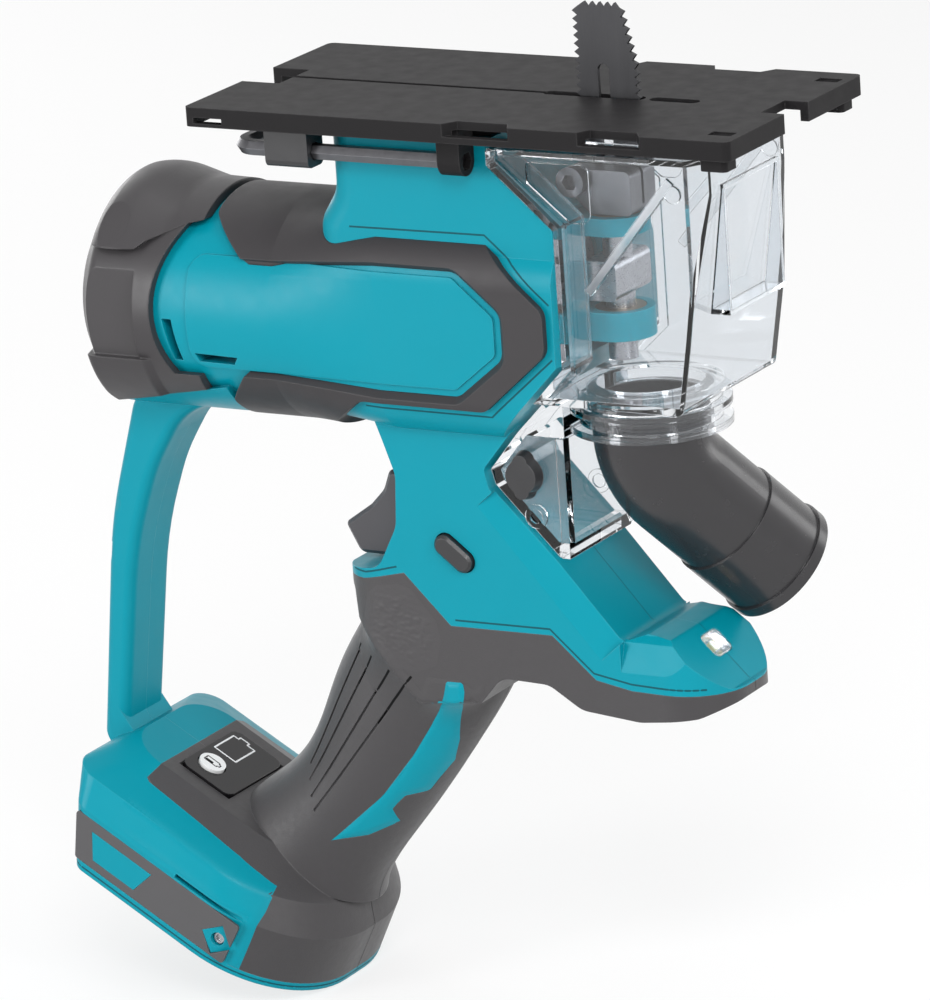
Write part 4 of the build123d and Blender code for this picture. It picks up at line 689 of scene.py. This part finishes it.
# wrinkled field at the top of the grip
PATCH_FADE = 5.0
PATCH = [
    (-75.0, -141.5), (-71.0, -138.6), (-64.0, -137.6), (-60.2, -138.6), (-52.6, -147.5), (-51.5, -153.0),
    (-53.5, -160.4), (-60.0, -163.0), (-69.0, -162.0), (-76.0, -159.0), (-78.6, -155.5), (-76.8, -148.0),
]
patch_flat, patch_faces, patch_depth = field(PATCH, 0.5)


def leather(p, i):
    """Wrinkled grain that dies away at the edge of the field."""
    share = min(1.0, patch_depth[i] / PATCH_FADE)
    fine = noise.noise(Vector((p.x * 0.8, p.y * 1.7, 0.3)))
    coarse = noise.noise(Vector((p.x * 0.35, p.y * 0.8, 4.1)))
    return 0.02 + share * (0.16 * abs(coarse) + 0.20 * abs(fine))


for name in SIDES:
    new_piece("grip_field_" + name, *laid(name, patch_flat, patch_faces, leather), "pebbled", "housing", "dark_rubber")


# teal panel on the shoulder of the foot, as places along and over the foot
PANEL_REAR, PANEL_FADE, PANEL_RISE = -27.5, 22, 0.3
PANEL = [
    (PANEL_REAR, 30.2), (-7.0, 29.7), (8.4, 29.2), (15.9, 28.4), (21.9, 27.5), (23.2, 25.4), (24.1, 21.8), (24.7, 13.4),
    (25.0, 8.0), (25.2, 2.6), (21.6, 2.6), (21.6, 16.0), (21.2, 19.2), (PANEL_REAR, 19.2),
]
panel = [foot_point(u, 0, h) / MM for u, h in PANEL]


def panel_rise(p):
    """Rises from nothing at the rear end of the panel to its full height in front."""
    along = (Vector((p.x, 0, p.y)) - FOOT_ORIGIN).dot(FOOT_ALONG)
    return PANEL_RISE * max(0.0, min(1.0, (along - PANEL_REAR) / PANEL_FADE))


flat, faces, depth = field([(p.x, p.z) for p in panel], 0.9)
for name in SIDES:
    sheet = laid(name, flat, faces, lambda p, i: 0.03 + panel_rise(p) * min(1.0, depth[i] / 1.1))
    new_piece("foot_panel_" + name, *sheet, "teal", "housing", "teal_plastic")

# frosted faces of the slanting ribs on the dust box
RIB = [(5.6, -46.6), (31.9, -14.8), (33.6, -15.9), (7.1, -47.9)]
flat, faces, depth = field(RIB, 0.6)
for name in SIDES:
    housing_skin, skin[name] = skin[name], search_tree("dust_box")
    sheet = laid(name, flat, faces, lambda p, i: 0.02 + 0.1 * min(1.0, depth[i] / 0.5))
    new_piece("rib_face_" + name, *sheet, "frost", "dust_box", "clear_plastic")
    skin[name] = housing_skin


# parting line between the two halves, drawn as dark strips: painted shade along the line
ON_PLANE = 1e-6
PARTING_LIFT, PARTING_HALF = 0.02, 0.11
LOOK_FROM, LOOK_ASIDE, LOOK_FAR = 0.0004, 0.0002, 0.2


def parting(node):
    """Strips along the edges where a right half meets the middle plane, apart from those that face another piece."""
    mesh = cad[node].data
    flat_edges, normals = {}, {}
    for polygon in mesh.polygons:
        level = all(abs(mesh.vertices[i].co.y) < ON_PLANE for i in polygon.vertices)
        across = abs(polygon.normal.y) > 0.999 and level
        for a, b in polygon.edge_keys:
            pa, pb = mesh.vertices[a].co, mesh.vertices[b].co
            if abs(pa.y) > ON_PLANE or abs(pb.y) > ON_PLANE:
                continue
            key = tuple(sorted((pa.to_tuple(6), pb.to_tuple(6))))
            if across:
                flat_edges[key] = True
            else:
                normals[key] = polygon.normal.copy()
    points, faces = [], []
    for key, normal in normals.items():
        if key not in flat_edges:
            continue
        a, b = Vector(key[0]), Vector(key[1])
        normal = Vector((normal.x, 0, normal.z)).normalized()
        middle = (a + b) / 2
        hit = outside.ray_cast(middle + normal * LOOK_FROM + Vector((0, -LOOK_ASIDE, 0)), normal)
        if hit[0] is not None and hit[3] < LOOK_FAR:
            continue
        lift = normal * (PARTING_LIFT * MM)
        wide = Vector((0, PARTING_HALF * MM, 0))
        first = len(points)
        points += [a + lift - wide, a + lift + wide, b + lift + wide, b + lift - wide]
        faces.append((first, first + 1, first + 2, first + 3))
    return points, faces


outside = search_tree(
    "housing_right", "grip_right", "rear_cover", "base_plate", "dust_box", "indicator_panel", "trigger"
)
new_piece("parting_line", *parting("housing_right"), "seam", "housing", "teal_plastic", smooth=False)
new_piece("parting_line_rubber", *parting("grip_right"), "ink", "housing", "dark_rubber", smooth=False)


# Camera, light and floor

SENSOR = 36
LONG_SIDE = 1000
FOCAL_PIXELS = 7000
AZIMUTH, ELEVATION, ROLL = (math.radians(v) for v in (30.73, 16.32, 4.0))
DISTANCE = 1.945
TARGET = Vector((-0.0529, 0, -0.1183))

back = Vector((
    math.sin(AZIMUTH) * math.cos(ELEVATION),
    -math.cos(AZIMUTH) * math.cos(ELEVATION),
    math.sin(ELEVATION),
))
right = Vector((math.cos(AZIMUTH), math.sin(AZIMUTH), 0))
up = back.cross(right)
across = right * math.cos(ROLL) - up * math.sin(ROLL)
upward = right * math.sin(ROLL) + up * math.cos(ROLL)

camera_data = bpy.data.cameras.new("camera")
camera_data.sensor_width = SENSOR
camera_data.lens = SENSOR * FOCAL_PIXELS / LONG_SIDE
camera_data.clip_start = 0.05
camera = bpy.data.objects.new("camera", camera_data)
turn = Matrix((across, upward, back)).transposed().to_4x4()
camera.matrix_world = Matrix.Translation(TARGET + back * DISTANCE) @ turn
scene.collection.objects.link(camera)
scene.camera = camera


def area_light(name, place, aim, size, power):
    """Rectangular lamp, size in metres and power in watts."""
    data = bpy.data.lights.new(name, "AREA")
    data.shape = "RECTANGLE"
    data.size, data.size_y = size
    data.energy = power
    lamp = bpy.data.objects.new(name, data)
    lamp.location = place
    lamp.rotation_euler = (Vector(aim) - Vector(place)).to_track_quat("-Z", "Y").to_euler()
    scene.collection.objects.link(lamp)


centre = (cad_box[0] + cad_box[1]) / 2
area_light("key", centre + Vector((-0.95, -1.3, 0.35)), centre, (0.55, 0.7), 14)
area_light("front", centre + Vector((0.75, -1.2, 1.1)), centre, (0.6, 0.6), 14)
area_light("fill", centre + Vector((1.5, -0.7, 0.75)), centre, (0.4, 1.2), 12)
area_light("top", centre + Vector((0.1, 0.1, 1.5)), centre, (1.2, 1.2), 7)
area_light("back_left", centre + Vector((-1.4, 0.9, 0.5)), centre, (0.6, 1.2), 7)
area_light("back_right", centre + Vector((1.1, 1.3, 0.4)), centre, (0.6, 1.2), 6)


def seen_rays(tree):
    """1 for rays that look at the background, straight, in a reflection or through glass."""
    paths = tree.nodes.new("ShaderNodeLightPath")
    total = paths.outputs["Is Camera Ray"]
    for other in ("Is Glossy Ray", "Is Transmission Ray"):
        most = tree.nodes.new("ShaderNodeMath")
        most.operation = "MAXIMUM"
        tree.links.new(total, most.inputs[0])
        tree.links.new(paths.outputs[other], most.inputs[1])
        total = most.outputs[0]
    return total


world = bpy.data.worlds.new("studio")
world.use_nodes = True
scene.world = world
sky = world.node_tree
lit = sky.nodes["Background"]
lit.inputs["Color"].default_value = (1, 1, 1, 1)
lit.inputs["Strength"].default_value = 0.38
seen = sky.nodes.new("ShaderNodeBackground")
seen.inputs["Color"].default_value = (1, 1, 1, 1)
seen.inputs["Strength"].default_value = 1.0
choice = sky.nodes.new("ShaderNodeMixShader")
sky.links.new(seen_rays(sky), choice.inputs[0])
sky.links.new(lit.outputs[0], choice.inputs[1])
sky.links.new(seen.outputs[0], choice.inputs[2])
sky.links.new(choice.outputs[0], sky.nodes["World Output"].inputs["Surface"])

FLOOR_SIZE, FLOOR_GAP, FLOOR_GLOW = 12.0, 0.0005, 0.72
floor_mesh = bpy.data.meshes.new("floor")
half = FLOOR_SIZE / 2
floor_mesh.from_pydata(
    [(-half, -half, 0), (half, -half, 0), (half, half, 0), (-half, half, 0)], [], [(0, 1, 2, 3)]
)
floor = bpy.data.objects.new("floor", floor_mesh)
floor.location = (0, 0, cad_box[0].z - FLOOR_GAP)
scene.collection.objects.link(floor)
paper = Finish("paper")
paper.colour(paper.noise(0.5, 2), (0.86, 0.86, 0.86, 1), (0.88, 0.88, 0.88, 1))
paper.rough(paper.noise(0.02, 4), 0.8, 0.95)
glow = paper.node("ShaderNodeEmission")
glow.inputs["Strength"].default_value = 1.0
share = paper.node("ShaderNodeMath", operation="MULTIPLY")
share.inputs[1].default_value = FLOOR_GLOW
paper.link(seen_rays(paper.tree), share.inputs[0])
blend = paper.node("ShaderNodeMixShader")
paper.link(share.outputs[0], blend.inputs[0])
paper.link(paper.shader.outputs[0], blend.inputs[1])
paper.link(glow.outputs[0], blend.inputs[2])
# nothing is seen of the floor from its underside
under = paper.node("ShaderNodeMixShader")
paper.link(paper.node("ShaderNodeNewGeometry").outputs["Backfacing"], under.inputs[0])
paper.link(blend.outputs[0], under.inputs[1])
paper.link(paper.node("ShaderNodeBsdfTransparent").outputs[0], under.inputs[2])
paper.link(under.outputs[0], paper.tree.nodes["Material Output"].inputs["Surface"])
floor_mesh.materials.append(paper.material)
